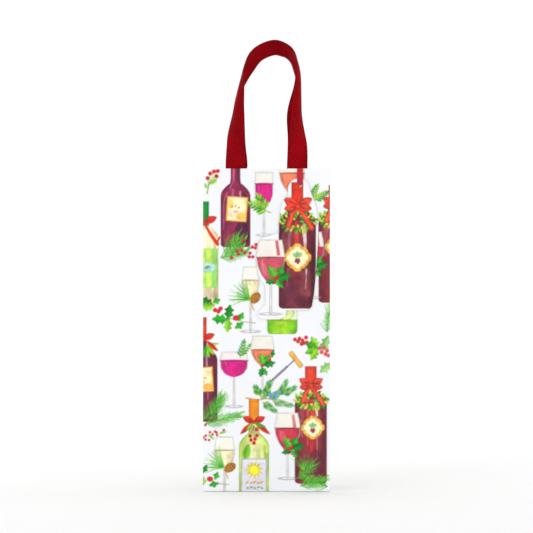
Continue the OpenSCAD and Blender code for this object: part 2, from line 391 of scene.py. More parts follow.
def glass(c, x, rim, foot, bowl, half, kind, level, wine, foot_half, stem=0.55, tint=GLASS):
    """A stemmed glass from its rim height down to its foot: an outlined bowl, wine up to level, a stem and an
    oval foot."""
    heights, halves = BOWLS[kind]
    heights = [h * bowl for h in heights]
    halves = [h * half for h in halves]
    low = rim - bowl
    ellipse(c, x, foot, foot_half, 1.5, (0.90, 0.90, 0.88), rim=0.35, alpha=0.8)
    ellipse(c, x, foot + 0.3, foot_half * 0.6, 0.7, (0.98, 0.98, 0.97), rim=0, alpha=0.9)
    stroke(c, [(x, low + 0.5), (x, foot + 0.8)], stem + 0.45, (0.80, 0.80, 0.79), end=stem + 0.7, rim=0.1,
           alpha=0.85)
    stroke(c, [(x, low + 0.5), (x, foot + 1.2)], 0.4 * stem, (0.98, 0.98, 0.97), rim=0, alpha=0.9)
    body(c, x, low, heights, [h + 0.45 for h in halves], GLASS_LINE, rim=0, alpha=0.75)
    body(c, x, low, heights, [max(h - 0.15, 0.05) for h in halves], tint, rim=0.04, wash=0.03)
    full = [h for h in heights if h < level * bowl] + [level * bowl]
    inner = list(np.interp(full, heights, halves) - 0.35)
    dark = [0.87 * v for v in wine]
    body(c, x, low, full, [max(h, 0.05) for h in inner], dark, core=wine, rim=0.12, wash=0.14, size=5)
    ellipse(c, x, low + level * bowl, max(inner[-1] - 0.1, 0.3), 0.7, [0.72 * v for v in wine], rim=0.1)
    glint = [(x - 0.62 * half, low + 0.9 * level * bowl), (x - 0.5 * half, low + 0.45 * level * bowl)]
    stroke(c, glint, 0.45, (1, 1, 1), end=0.2, alpha=0.35, rim=0)
    ellipse(c, x, rim, halves[-1], 0.5, (0.99, 0.99, 0.97), rim=0.25, alpha=0.8)


def bottle(c, x, y, top, half, neck, shoulder, colour, core, cap_from=None, cap_colour=BOW,
           streak=CLARET_LIGHT):
    """A bottle from its foot y up to top: a straight body, a rounded shoulder and a neck, with washes and a
    light streak."""
    h = top - y
    s = shoulder - y
    rise = min(h - s, 0.42 * half * 2)
    heights = [0, 0.8, 2.5, s, s + 0.3 * rise, s + 0.6 * rise, s + 0.85 * rise, s + rise, s + 1.4 * rise, h]
    halves = [0.80, 0.93, 1, 1, 0.93, 0.74, 0.52, neck / half * 1.15, neck / half, neck / half]
    halves = [half * v for v in halves]
    order = np.argsort(heights)
    heights = [heights[i] for i in order]
    halves = [halves[i] for i in order]
    body(c, x, y, heights, [v + 0.3 for v in halves], [0.72 * v for v in colour], rim=0, alpha=0.8)
    body(c, x, y, heights, halves, colour, core=core, rim=0.14, wash=0.24, size=9)
    for side, wide, deep in (
        (-0.78, 0.16, 0.62), (0.80, 0.14, 0.58), (-0.42, 0.20, 0.86), (0.30, 0.22, 0.84),
    ):
        tone = [deep * v for v in core]
        points = [(x + side * 0.9 * half, shoulder - 0.02 * s), (x + side * half, y + 0.62 * s),
                  (x + side * 0.96 * half, y + 0.06 * s)]
        stroke(c, points, 0.6 * wide * half, tone, end=wide * half, alpha=0.38, rim=0.1, wash=0.3, size=9)
    if streak is not None:
        for points, wide, tone, end, cover, wash, size in (
            (((-0.4 * neck, top - 1), (-0.45 * neck, shoulder + 1.25 * rise),
              (-0.42 * half, shoulder + 0.45 * rise)), 0.22 * neck, streak, 0.05 * half, 0.8, 0.3, 5),
            (((0.45 * neck, top - 1), (0.5 * neck, shoulder + 1.3 * rise)), 0.2 * neck,
             [0.55 * v for v in core], None, 0.6, 0.12, 6),
            (((-0.18 * half, shoulder + 0.5 * rise), (-0.2 * half, y + 0.5 * s)), 0.09 * half, streak,
             0.05 * half, 0.75, 0.12, 6),
            (((0.32 * half, shoulder + 0.3 * rise), (0.42 * half, y + 0.35 * s)), 0.07 * half,
             (0.96, 0.88, 0.86), 0.02 * half, 0.55, 0.12, 6),
            (((-0.72 * half, shoulder - 0.1 * s), (-0.74 * half, y + 0.3 * s)), 0.12 * half, core,
             0.05 * half, 0.45, 0.12, 6),
        ):
            places = [(x + dx, height) for dx, height in points]
            stroke(c, places, wide, tone, end=end, alpha=cover, rim=0, wash=wash, size=size)
    if cap_from is not None:
        body(c, x, cap_from, [0, top - cap_from], [neck + 0.35, neck + 0.35], [0.84 * v for v in cap_colour],
             core=cap_colour, rim=0.15, wash=0.12)
        stroke(c, [(x - neck, top - 2.5), (x + neck, top - 2.5)], 0.35, [0.7 * v for v in cap_colour], rim=0,
               alpha=0.7)


def plain_label(c, x, y, w, h, angle, edge=GOLD, inner=CREAM):
    """A label with a gold border, a cream middle and a small vine ornament."""
    body(c, x, y - h / 2, [0, h], [w / 2, w / 2], edge, angle=angle, wash=0.12, rim=0.12)
    body(c, x, y - h / 2 + 1.2, [0, h - 2.4], [w / 2 - 1.6, w / 2 - 1.6], inner, angle=angle,
         core=(1.0, 0.95, 0.78), rim=0.03)
    ellipse(c, x + 0.24 * w, y - 0.30 * h, 0.24 * w, 0.14 * h, (0.99, 0.66, 0.22), alpha=0.75, rim=0,
            wash=0.3)
    ellipse(c, x - 0.25 * w, y + 0.22 * h, 0.16 * w, 0.18 * h, (1.0, 0.76, 0.34), alpha=0.7, rim=0, wash=0.3)
    for k in (-1, 0, 1):
        leaf(c, x + 2.6 * k - 1.2, y + 1.5 - abs(k), 3.4, 1.7, 60 - 30 * k, (0.78, 0.62, 0.30), vein=False,
             alpha=0.7)
    ellipse(c, x, y - 2.6, 2.6, 1.6, (0.85, 0.55, 0.50), alpha=0.5, rim=0.1)


def round_label(c, x, y, r):
    """A scalloped label of four broad lobes: its radius swings with the cosine of four times the angle,
    flattened at the lobes, with small nicks between. It carries a bunch of grapes."""
    w = c.window(x, y, 1.2 * r + 3, 1.2 * r + 3)
    if w:
        around = np.arctan2(w[2], w[1])
        lobe = np.cos(4 * around)
        reach = r * (1 + 0.06 * lobe + 0.035 * np.cos(8 * around) - 0.02 * np.cos(16 * around))
        d = np.hypot(w[1], w[2]) - reach
        c.lay(w[0], d, (0.99, 0.76, 0.30), w[1], w[2], wash=0.22, rim=0.22, size=3)
        c.lay(w[0], np.abs(d + 0.17 * r) - 0.25, (0.88, 0.55, 0.18), w[1], w[2], rim=0, alpha=0.7)
        c.lay(w[0], d + 0.24 * r, (1.0, 0.97, 0.78), w[1], w[2], wash=0.08, rim=0.08, size=4)
    for k in (-1, 0, 1):
        leaf(c, x, y + 0.02 * r, 0.46 * r, 0.30 * r, 90 + 48 * k, (0.50, 0.80, 0.48), vein=False, alpha=0.75,
             rim=0.05)
    for dx, dy in ((-0.10, -0.14), (0.10, -0.14), (-0.02, -0.26), (-0.14, -0.3), (0.12, -0.3), (0.02, -0.42)):
        ellipse(c, x + dx * r, y + dy * r, 0.085 * r, 0.085 * r, (0.64, 0.14, 0.30), rim=0.2)


def wreath(c, x, y, rx, ry, seed=0.0):
    """A band of small leaves and berries across a bottle's shoulder: they follow a spiral that fills an
    oval."""
    greens = ((0.30, 0.80, 0.16), (0.74, 0.93, 0.18), (0.93, 0.97, 0.34), (0.12, 0.64, 0.14),
              (1.0, 0.93, 0.42), (0.56, 0.88, 0.22))
    for i in range(46):
        a = 2.4 * i + seed
        far = math.sqrt((i + 0.5) / 46)
        px, py = x + rx * far * math.cos(a), y + ry * far * math.sin(a)
        leaf(c, px, py, 5.0, 2.9, 57 * a % 360, greens[i % 6], vein=False, rim=0.16, wash=0.2, size=2.5)
        if i % 5 == 2:
            ellipse(c, px, py, 1.0, 1.0, BERRY, rim=0.2)


def red_group(c, x, y):
    """The claret bottle with a bow and wreath, its holly glass in front and pine at its foot, from its foot's
    middle."""
    bottle(c, x, y, y + 117, 15.6, 5.2, y + 79, (0.40, 0.10, 0.16), (0.62, 0.20, 0.24), cap_from=y + 93,
           cap_colour=(0.93, 0.27, 0.16), streak=(0.93, 0.34, 0.30))
    stroke(c, [(x - 8, y + 79), (x - 9, y + 68), (x - 9.5, y + 48)], 2.6, (0.74, 0.42, 0.46), end=1.6,
           alpha=0.45, rim=0, wash=0.35, size=4)
    stroke(c, [(x + 1.2, y + 82), (x + 1.6, y + 66)], 2.0, (0.90, 0.25, 0.20), end=1.8, alpha=0.9, rim=0,
           wash=0.3, size=4)
    stroke(c, [(x + 1.2, y + 46), (x + 1.4, y + 22)], 2.2, (0.80, 0.14, 0.14), end=1.2, alpha=0.75, rim=0,
           wash=0.3, size=4)
    stroke(c, [(x + 5.4, y + 81), (x + 6.6, y + 68)], 1.6, (0.98, 0.90, 0.84), end=0.8, alpha=0.85, rim=0)
    ellipse(c, x + 5, y + 20, 8, 14, (0.32, 0.07, 0.18), alpha=0.5, rim=0, wash=0.3)
    wreath(c, x + 0.5, y + 83, 15, 7)
    bow(c, x + 0.2, y + 98, 16, colour=(0.96, 0.28, 0.20), dark=BOW_DARK, four=True)
    round_label(c, x + 2, y + 56, 11)
    glass(c, x - 23.2, y + 70.5, y + 5, 38, 12.6, "wine", 0.60, WINE_RED, 9.5)
    body(c, x - 16, y + 56, [0, 13], [1.6, 1.2], (0.86, 0.42, 0.44), angle=8, alpha=0.8)
    ellipse(c, x - 28, y + 47, 3, 6, (0.93, 0.44, 0.48), angle=14, alpha=0.6, rim=0)
    holly(c, x - 20, y + 34, 13.5, (62, 20, 118), dots=((-2, 0.5), (1, 2.2), (-1.5, -2.6)))
    holly(c, x - 20, y + 33, 9, (-45, 195))


def top_left(c):
    """The upper left of the front: berry sprig, claret bottle, pine and berries, magenta glass and leaves."""
    for x, y in ((7.2, 318), (11, 320), (14.8, 320.5), (13.6, 315.3), (4.6, 313.4)):
        stroke(c, [(4.2, 298), (5.5, 306), (x, y)], 0.35, (0.55, 0.72, 0.15), end=0.25, rim=0)
        ellipse(c, x, y, 1.9, 1.9, BERRY, rim=0.25)
    leaf(c, 8, 307, 8.5, 3, 42, LEAF_LIGHT)
    leaf(c, 3.6, 303, 5.5, 2.2, 105, LEAF_LIGHT)
    bottle(c, 32.5, 244.5, 330, 14.5, 4.4, 296, CLARET, CLARET_CORE)
    ellipse(c, 39, 258, 7.5, 12, (0.24, 0.05, 0.20), alpha=0.65, rim=0, wash=0.3)
    ellipse(c, 26, 254, 6, 8, (0.62, 0.22, 0.30), alpha=0.45, rim=0, wash=0.35)
    stroke(c, [(24, 299), (20.8, 290), (20.4, 262)], 1.1, (0.80, 0.40, 0.56), end=0.6, alpha=0.6, rim=0,
           wash=0.3, size=4)
    stroke(c, [(40, 298), (43.5, 290), (44, 268)], 1.6, (0.27, 0.05, 0.17), end=1.0, alpha=0.55, rim=0)
    plain_label(c, 33, 282.5, 21, 25, -4)
    pine(c, 22, 237, 20, 52, 17, rows=15)
    pine(c, 18, 234, 22, 12, 13, rows=14)
    pine(c, 30, 238, 12, 68, 14, rows=9)
    for x, y in ((38.5, 242), (35, 240), (43, 238), (40.5, 249.5)):
        leaf(c, x, y, 9, 2.4, 62, (0.45, 0.78, 0.2), vein=False)
    berries(c, ((38.4, 241.3), (34, 240.6), (35.2, 237.6), (28.4, 234), (41.8, 238.8), (47, 238.4),
                (46.3, 234.7), (49.8, 234.6), (49.4, 244.4), (52.6, 243.6), (53, 247), (40, 251.5)), r=1.6)
    glass(c, 61, 319, 256.5, 33, 8.9, "straight", 0.66, MAGENTA, 7.5)
    sprig(c, 63, 280.5, 14, 118, 9, (LEAF_LIGHT, LEAF, (0.62, 0.85, 0.25)), pairs=4)
    sprig(c, 62, 282, 14, 158, 8, (LEAF_LIGHT, (0.35, 0.7, 0.15)), pairs=4)
    leaf(c, 62.5, 281, 9, 3, 205, LEAF_LIGHT)
    leaf(c, 62.5, 280.5, 7, 1.2, -18, (0.8, 0.86, 0.4), vein=False)


def top_right(c):
    """The upper right: rose glass cut by the top edge, rosemary, and the claret group behind the tag."""
    glass(c, 89, 331, 270, 33, 12.4, "wine", 0.62, ROSE, 8)
    sprig(c, 106, 290, 16, 62, 6, (LEAF_LIGHT, LEAF), pairs=6)
    sprig(c, 112, 291, 13, 34, 6, (LEAF, LEAF_LIGHT), pairs=5)
    red_group(c, 131.5, 189)
    pine(c, 126, 176, 17, 68, 12, rows=11)
    pine(c, 124, 160, 16, 85, 11, rows=9)


def middle(c):
    """The middle band: pale bottle at the left edge, holly, white wine with a cone, and the lime tumbler."""
    bottle(c, 2, 187, 290, 13, 3.4, 254, (0.98, 0.86, 0.62), (1.0, 0.93, 0.78), cap_from=266,
           cap_colour=(0.03, 0.58, 0.20), streak=None)
    body(c, 2, 204, [0, 39], [12.6, 12.6], (0.52, 0.84, 0.42), core=(0.80, 0.93, 0.42), rim=0.08)
    for k, x in enumerate((-2, 2.5, 6.5, 10)):
        stroke(c, [(x, 205), (x, 242)], 0.8, ((0.92, 0.93, 0.30), (0.40, 0.80, 0.35))[k % 2], alpha=0.5,
               rim=0)
    ellipse(c, 4.5, 224, 8.6, 5, (0.72, 0.90, 0.86), rim=0.1)
    leaf(c, 1.5, 223, 6, 3, 20, (0.55, 0.80, 0.40), vein=False)
    bow(c, 1.5, 269, 15.5, tails=False)
    stroke(c, [(1.5, 268), (7, 258), (14.5, 247.5)], 1.1, BOW, end=1.7, rim=0.2)
    stroke(c, [(14, 249), (16.5, 254)], 0.9, BOW, rim=0.2)
    for row in (
        (-3, 193, 15, 9, -28, LEAF_DARK, 3), (-2, 184, 14, 8, 8, LEAF_LIGHT, 3), (10, 189, 8, 6, 22, LEAF, 2),
        (25, 172, 16, 9.5, 178, LEAF, 3), (25, 172, 15, 9, 82, LEAF_DARK, 3),
        (26, 173, 14, 8, -98, LEAF_LIGHT, 3), (36, 171, 9, 6, 62, LEAF, 2), (32, 163, 10, 6.5, 35, LEAF, 2),
    ):
        leaf(c, *row)
    stroke(c, [(24, 174), (38, 170), (52, 168.5)], 0.35, STALK, rim=0)
    berries(c, ((12, 181.5), (15.4, 180.2), (17.6, 183)), r=2.1)
    ellipse(c, 33, 173.5, 3.1, 2.7, (0.92, 0.12, 0.05), rim=0.3)
    glass(c, 47.5, 224.5, 160, 35, 8.6, "tulip", 0.62, STRAW, 10, tint=(0.985, 0.975, 0.93))
    fan(c, 47, 192, 22, 148, 92, 30)
    cone(c, 52.3, 193.5, 12.5, 9, 50)
    stroke(c, [(48, 189), (51, 181)], 0.5, TWIG, rim=0)
    body(c, 79.3, 157.5, [0, 1.5, 4, 26], [13, 14.6, 15.2, 15.2], (0.92, 0.96, 0.86), rim=0.15)
    body(c, 79.3, 157.5, [0, 1.5, 4, 14], [12.4, 14.1, 14.8, 14.8], LIME_DARK, core=LIME, rim=0.16, wash=0.12)
    ellipse(c, 79.3, 171.3, 14.6, 1.1, (0.55, 0.83, 0.12), rim=0.15)
    ellipse(c, 84, 177, 7.6, 5.2, (0.84, 0.93, 0.45), angle=24, rim=0.2)
    ellipse(c, 84, 177, 6.2, 3.9, (0.95, 0.98, 0.75), angle=24, rim=0.05)
    for turn in (0, 60, 120):
        a = math.radians(turn + 24)
        stroke(c, [(84 - 5 * math.cos(a), 177 - 3.4 * math.sin(a)),
                   (84 + 5 * math.cos(a), 177 + 3.4 * math.sin(a))], 0.3, LEAF_LIGHT, rim=0, alpha=0.7)


def lower_left(c):
    """The lower left: dark bottle at the edge, magenta and rose glasses, pine and berries."""
    bottle(c, -1.5, 70, 174, 15.6, 4.6, 132, (0.40, 0.08, 0.20), (0.50, 0.16, 0.30), cap_from=150,
           cap_colour=(0.93, 0.25, 0.12))
    plain_label(c, -1, 112, 24, 25, 3)
    for turn in (-20, -48, -75, -100, 8):
        leaf(c, 3, 146, 13, 3.4, turn, (LEAF_LIGHT, LEAF, (0.75, 0.88, 0.3))[abs(turn) % 3], vein=False)
    bow(c, 0.5, 152.5, 14, tails=False)
    leaf(c, 3, 151, 16, 4, -42, BOW, vein=False, rim=0.25)
    pine(c, 0, 72, 25, 46, 15, rows=17)
    pine(c, 3, 68, 34, 14, 13, rows=20)
    pine(c, 8, 76, 20, 62, 14, rows=13)
    berries(c, ((2.4, 66.5), (6.9, 59.3), (9.5, 57.2), (12, 60), (14, 56.5), (13.5, 59), (20.8, 61.5),
                (2.7, 55.8), (2.5, 52), (0.2, 54), (6, 51.5)), r=1.2)
    for x, y, turn in ((5, 57, -38), (16, 58, 15), (14, 54, -5)):
        leaf(c, x, y, 8, 2.2, turn, LEAF_LIGHT, vein=False)
    glass(c, 31, 139.5, 85, 25, 13.6, "round", 0.66, MAGENTA, 8.5, tint=(0.97, 0.93, 0.93))
    sprig(c, 37, 134, 15, 76, 5.5, (LEAF, (0.2, 0.65, 0.35)), pairs=5)
    sprig(c, 39, 137, 11, 50, 4.5, (LEAF, LEAF_LIGHT), pairs=4)
    glass(c, 59.5, 155.5, 99, 30, 11.6, "wine", 0.54, ROSE, 8.5)
    holly(c, 60, 126, 12, (58, 14, 100), dots=((-1, 0), (6.5, 6)))
    holly(c, 59, 124, 9, (-58, -100))
    leaf(c, 69, 134, 8, 4, 78, LEAF_DARK, teeth=2)


def lower_right(c):
    """The lower right: corkscrew, juniper, holly with berries, and the claret group."""
    stroke(c, [(92, 132), (68, 110)], 0.55, (0.36, 0.34, 0.38), end=0.4, rim=0)
    for k in range(9):
        t = 0.34 + 0.07 * k
        x, y = 92 - 24 * t, 132 - 22 * t
        stroke(c, [(x - 0.9, y + 0.7), (x + 0.8, y - 0.6)], 0.45, (0.30, 0.28, 0.34), rim=0)
    body(c, 92.9, 132, [-9.6, -8.2, -1.5, 0, 1.5, 8.2, 9.6], [1.6, 2.5, 2.4, 1.8, 2.4, 2.5, 1.6], WOOD,
         angle=38, core=(0.97, 0.76, 0.36), rim=0.2)
    stroke(c, [(43, 93.5), (56, 91.5), (76, 95)], 0.6, (0.80, 0.55, 0.35), end=0.3, rim=0)
    greens = ((0.12, 0.66, 0.26), (0.50, 0.85, 0.20), (0.06, 0.53, 0.26), (0.66, 0.90, 0.28),
              (0.16, 0.70, 0.16))
    for x, y, turn, far in ((58, 92, 60, 20), (63, 94, 80, 14), (66, 92, 35, 17), (60, 89, -35, 14),
                            (70, 90, -12, 18), (76, 96, 62, 15), (80, 97, 30, 13), (57, 96, 118, 9)):
        sprig(c, x, y, far, turn, 5.4, greens, pairs=9, slim=0.21)
    berries(c, ((67.5, 95.5), (71, 97.5), (73.5, 95), (76.8, 99.2), (66.5, 97)), r=1.8,
            colour=(0.36, 0.70, 0.92))
    for x, y in ((92, 152), (95, 150), (96.5, 153), (99.5, 151), (103, 154), (104, 149), (98.5, 147.5),
                 (101, 148.5)):
        ellipse(c, x, y, 1.8, 1.8, BERRY, rim=0.22)
    stroke(c, [(92, 151), (104, 148), (116, 143)], 0.35, (0.5, 0.55, 0.25), rim=0)
    fresh = (LEAF_LIGHT, (0.25, 0.68, 0.12), (0.42, 0.76, 0.12))
    holly(c, 115, 143, 13, (120, 158, 200, -122), colours=fresh)
    leaf(c, 119, 140, 17, 9, 68, (0.62, 0.86, 0.48), teeth=3)
    leaf(c, 117, 119, 15, 9, 40, (0.64, 0.87, 0.50), teeth=3)
    berries(c, ((116.5, 143.5), (118.5, 139.5), (121, 144), (122.5, 137.5), (125.5, 136), (124, 141)), r=1.9,
            colour=(0.95, 0.28, 0.32))
    red_group(c, 107.8, 8)
    pine(c, 96, 14, 18, 42, 15, rows=15)
    pine(c, 124, 5, 24, 158, 13, rows=17)
    pine(c, 98, 6, 24, 16, 12, rows=17)
    fan(c, 101, 22, 17, 100, 90, 20)


def bottom(c):
    """The foot of the front: the yellow bottle with a bow and a sun label, white wine with a cone, and
    holly."""
    bottle(c, 51, -6, 92.5, 14.6, 4.6, 46, (0.74, 0.89, 0.32), (0.96, 0.98, 0.68), cap_from=68,
           cap_colour=AMBER, streak=None)
    leaf(c, 42, 31, 17, 7, 78, (0.50, 0.84, 0.12), vein=False, rim=0.1)
    stroke(c, [(49, 45), (48.5, 33)], 0.9, (0.99, 0.99, 0.93), end=0.5, alpha=0.8, rim=0)
    body(c, 51, -6, [0, 39], [12.8, 12.8], (0.72, 0.74, 0.80), rim=0.05)
    body(c, 51, -6, [0, 38], [11.8, 11.8], (0.93, 0.92, 0.96), rim=0.04, wash=0.04)
    body(c, 51, 1, [0, 28], [10.4, 10.4], (0.86, 0.86, 0.94), rim=0, alpha=0.5)
    for k in range(11):
        leaf(c, 51, 21.5, 9, 2.6, 360 / 11 * k + 10, (1.0, 0.93, 0.30), vein=False, rim=0.05)
    ellipse(c, 51, 21.5, 4.8, 4.8, (1.0, 0.96, 0.22), rim=0.12)
    for k in range(5):
        leaf(c, 43 + 3.6 * k, 8, 3.6, 1.7, 40 - 20 * (k % 2), (0.99, 0.72, 0.15), vein=False)
        leaf(c, 43 + 3.6 * k, 4, 3.4, 1.5, -20 + 30 * (k % 2), (0.55, 0.80, 0.35), vein=False)
    bow(c, 51, 69.5, 14, tails=False)
    leaf(c, 50, 69, 17, 4.6, 222, BOW, vein=False, rim=0.25)
    leaf(c, 52, 69, 19, 4.6, -38, BOW, vein=False, rim=0.25)
    leaf(c, 51, 69, 13, 3, -22, LEAF, vein=False)
    leaf(c, 50, 69, 11, 2.6, 232, LEAF_LIGHT, vein=False)
    for x, y in ((53.5, 62), (47, 55.5), (54, 56), (48, 51.5), (52, 52.5), (51, 48.5)):
        stroke(c, [(50.5, 66), (x, y)], 0.2, (0.55, 0.45, 0.2), rim=0)
        ellipse(c, x, y, 1.7, 1.7, BERRY, rim=0.25)
    glass(c, 21.6, 54.5, -6, 33, 10, "tulip", 0.60, STRAW, 9, tint=(0.985, 0.97, 0.92))
    fan(c, 21, 24, 22, 148, 88, 30)
    cone(c, 27, 24, 12.5, 8.6, 32)
    stroke(c, [(22.5, 20), (25, 13)], 0.5, TWIG, rim=0)
    for row in (
        (-1, 18, 10, 6, 60, LEAF_DARK, 2), (0, 6, 9, 6, 88, LEAF_LIGHT, 2), (12, 12, 8, 6, 70, LEAF, 2),
        (6, 6, 10, 6, 14, LEAF, 2),
    ):
        leaf(c, *row)
    stroke(c, [(8, 10), (16, 8), (26, 6.8)], 0.3, STALK, rim=0)
    ellipse(c, 7, 12.5, 3, 2.4, (0.90, 0.12, 0.06), rim=0.3)


def side_print(c):
    """The print on a gusset: a rose glass, a lime bottle, a cone, holly, berries and pine, in mm from its
    front edge."""
    bottle(c, 62, 196, 300, 14, 4.4, 262, (0.62, 0.82, 0.28), (0.90, 0.94, 0.56), cap_from=278,
           cap_colour=AMBER, streak=None)
    round_label(c, 62, 235, 10)
    bow(c, 62, 279, 14)
    glass(c, 27, 318, 250, 34, 10.5, "wine", 0.56, ROSE, 8.5)
    holly(c, 27, 284, 12, (60, 18, 110), dots=((-1, 0), (2, 2)))
    pine(c, 36, 196, 26, 24, 13, rows=17)
    pine(c, 40, 190, 22, 60, 12, rows=14)
    fan(c, 22, 212, 20, 120, 110, 28)
    cone(c, 24, 214, 13, 9, 40)
    glass(c, 25, 182, 118, 28, 12.5, "round", 0.62, MAGENTA, 8.5)
    sprig(c, 30, 176, 15, 70, 5.5, (LEAF, LEAF_LIGHT), pairs=5)
    bottle(c, 66, 62, 168, 14, 4.4, 130, CLARET, CLARET_CORE, cap_from=146)
    plain_label(c, 66, 108, 20, 24, 3)
    bow(c, 66, 148, 14)
    holly(c, 44, 150, 11, (100, 150, 40), dots=((0, 0), (2, -2), (-2, -1)))
    glass(c, 30, 100, 34, 31, 11, "wine", 0.6, WINE_RED, 9)
    holly(c, 33, 66, 12, (64, 22, 120), dots=((-1, 0), (2, 2)))
    pine(c, 52, 58, 24, 20, 13, rows=16)
    pine(c, 56, 52, 20, 58, 12, rows=13)
    fan(c, 66, 22, 20, 100, 150, 28)
    cone(c, 66, 24, 13, 9, 60)
    holly(c, 22, 16, 12, (20, 70, 150), dots=((0, 0), (3, -1), (1, 3)))
    berries(c, ((46, 20), (49, 23), (52, 19), (48, 16)), r=1.7)


def printed_sheet():
    """The whole sheet's print, laid flat. The front starts at 0, then follow the right gusset, the back and
    the left gusset; it repeats after one turn, and above the rim and below the foot after one repeat of the
    pattern."""
    c = Canvas(np.arange(0, SHEET + CELL, CELL), np.arange(-BELOW, HEIGHT + ABOVE, CELL))
    front, side = 2 * HALF_W, 2 * HALF_D
    for c.lift in (-REPEAT, REPEAT, 0):
        for turn in (-SHEET, 0, SHEET):
            for c.shift in (turn + front, turn + 2 * front + side):
                side_print(c)
            for c.shift in (turn, turn + front + side):
                for part in (top_right, top_left, middle, lower_left, lower_right, bottom):
                    part(c)
    return c


def ink_at(c, u, v):
    """Linear colours of a painted area at any places, mixed from the four nearest painted points."""
    a = np.clip((u - c.u[0]) / CELL, 0, len(c.u) - 1.001)
    b = np.clip((v - c.v[0]) / CELL, 0, len(c.v) - 1.001)
    i, j = a.astype(int), b.astype(int)
    p, q = (a - i)[..., None], (b - j)[..., None]
    low = c.rgb[j, i] * (1 - p) + c.rgb[j, i + 1] * p
    high = c.rgb[j + 1, i] * (1 - p) + c.rgb[j + 1, i + 1] * p
    return linear(low * (1 - q) + high * q)


# ---------------------------------------------------------------- the folded sheet


def rise(x):
    """Smooth step from 0 to 1: x squared times (3 - 2x)."""
    x = np.clip(x, 0, 1)
    return x * x * (3 - 2 * x)


def wall(u, v, radius):
    """The outer side of the bag at u along the sheet and v up it, with its outward directions. The path round
    the bag is a rectangle with quarter circles of the radius at its corners, and the foot turns under in the
    same quarter circle. The big panels swell by a sine, the gussets draw in to their middles in a V, and
    every crease is a shallow groove."""
    u, v = np.broadcast_arrays(np.asarray(u, float), np.asarray(v, float))
    s = np.mod(u, SHEET)
    lengths = np.array((2 * HALF_W, 2 * HALF_D, 2 * HALF_W, 2 * HALF_D))
    starts = np.concatenate(((0,), np.cumsum(lengths)[:-1]))
    corners = np.array(((-1, -1), (1, -1), (1, 1), (-1, 1))) * (HALF_W, HALF_D)
    along = np.array(((1, 0), (0, 1), (-1, 0), (0, -1)), float)
    out = np.array(((0, -1), (1, 0), (0, 1), (-1, 0)), float)
    k = np.clip(np.searchsorted(starts, s, side="right") - 1, 0, 3)
    a, size = s - starts[k], lengths[k]
    turn = np.clip((radius - v) / (2 * radius), 0, 1) * math.pi / 2
    inset = radius * (1 - np.cos(turn)) + np.maximum(-v - radius, 0)
    z = np.where(v < radius, radius * (1 - np.sin(turn)), v)
    late = a > size - radius
    corner = np.where(late, (k + 1) % 4, k)
    round_it = late | (a < radius)
    theta = (np.where(late, a - size, a) + radius) / (2 * radius) * math.pi / 2
    before = out[(corner - 1) % 4]
    n_round = np.cos(theta)[..., None] * before + np.sin(theta)[..., None] * out[corner]
    centre = corners[corner] + radius * (along[corner] - out[corner])
    p_round = centre + np.maximum(radius - inset, 0)[..., None] * n_round
    p_flat = corners[k] + a[..., None] * along[k] - inset[..., None] * out[k]
    n = np.where(round_it[..., None], n_round, out[k])
    p = np.where(round_it[..., None], p_round, p_flat)
    t = a / size
    wide = (k % 2) == 0
    look = bpy.context.scene.gift_bag_paper
    belly = np.exp(-(((v - 0.36 * HEIGHT) / (0.26 * HEIGHT)) ** 2))
    swell = look.swell / MM * np.sin(math.pi * t) ** 1.5 * belly
    draw = -look.gusset_draw / MM * (1 - np.abs(2 * t - 1)) ** 2 * rise((v - BACK_CREASE) / 70)
    ripple = np.where(wide, 0.20, 0.07) * cloud(u, v, 62) * np.sin(math.pi * t) ** 2
    ripple = ripple * rise(v / 40) * rise((HEIGHT - v) / 30)
    away = np.where(wide, swell, draw) + ripple
    edge = np.minimum(a, size - a)
    slope = np.where(~wide, np.abs(v - edge - FOOT) / 1.414, 99)
    slope = np.where((v < BACK_CREASE + 1) & (edge > radius), slope, 99)
    middle_line = np.where(~wide & (v > BACK_CREASE), np.abs(a - size / 2), 99)
    rear = (k == 2) | ((k == 1) & (t > 0.5)) | ((k == 3) & (t < 0.5))
    level = np.where(rear, np.abs(v - BACK_CREASE), 99)
    crease = np.minimum(np.minimum(slope, middle_line), level)
    away = away - 0.22 * np.exp(-((crease / 0.7) ** 2)) * rise(edge / 3)
    point = np.concatenate((p + away[..., None] * n, z[..., None]), -1)
    n3 = np.concatenate((np.cos(turn)[..., None] * n, -np.sin(turn)[..., None]), -1)
    return point, n3


def spread(*spans):
    """Numbers from spans of (start, end, cells), each span evenly cut."""
    parts = [np.linspace(a, b, n, endpoint=False) for a, b, n in spans]
    return np.concatenate(parts + [[spans[-1][1]]])


def shell(name, outer, inner, stride, ink=None, inside=(0.86, 0.86, 0.87)):
    """A closed thin sheet between matching grids of its printed side and its plain side. The plain side keeps
    every stride-th line, and one face along the rim joins each of its cells to the printed side's finer
    ones."""
    rows, cols = outer.shape[:2]
    fine = np.arange(rows * cols).reshape(rows, cols)
    few = inner[::stride, ::stride]
    r2, c2 = few.shape[:2]
    coarse = rows * cols + np.arange(r2 * c2).reshape(r2, c2)

    def rim(edge, back, flip):
        spans = np.arange(0, len(edge) - 1, stride)[:, None] + np.arange(stride + 1)
        near, far = edge[spans], np.stack((back[:-1], back[1:]), -1)
        return np.concatenate((near[:, ::-1], far) if flip else (near, far[:, ::-1]), 1)

    rims = [rim(fine[0], coarse[0], True), rim(fine[-1], coarse[-1], False),
            rim(fine[:, -1], coarse[:, -1], True), rim(fine[:, 0], coarse[:, 0], False)]
    faces = [quads(fine), quads(coarse)[:, ::-1]] + rims
    points = np.concatenate((outer.reshape(-1, 3), few.reshape(-1, 3)))
    obj = new_mesh(name, points, faces)
    if ink is not None:
        plain = np.broadcast_to(linear(inside), (r2 * c2, 3))
        paint(obj, np.concatenate((ink.reshape(-1, 3), plain)))
    return obj


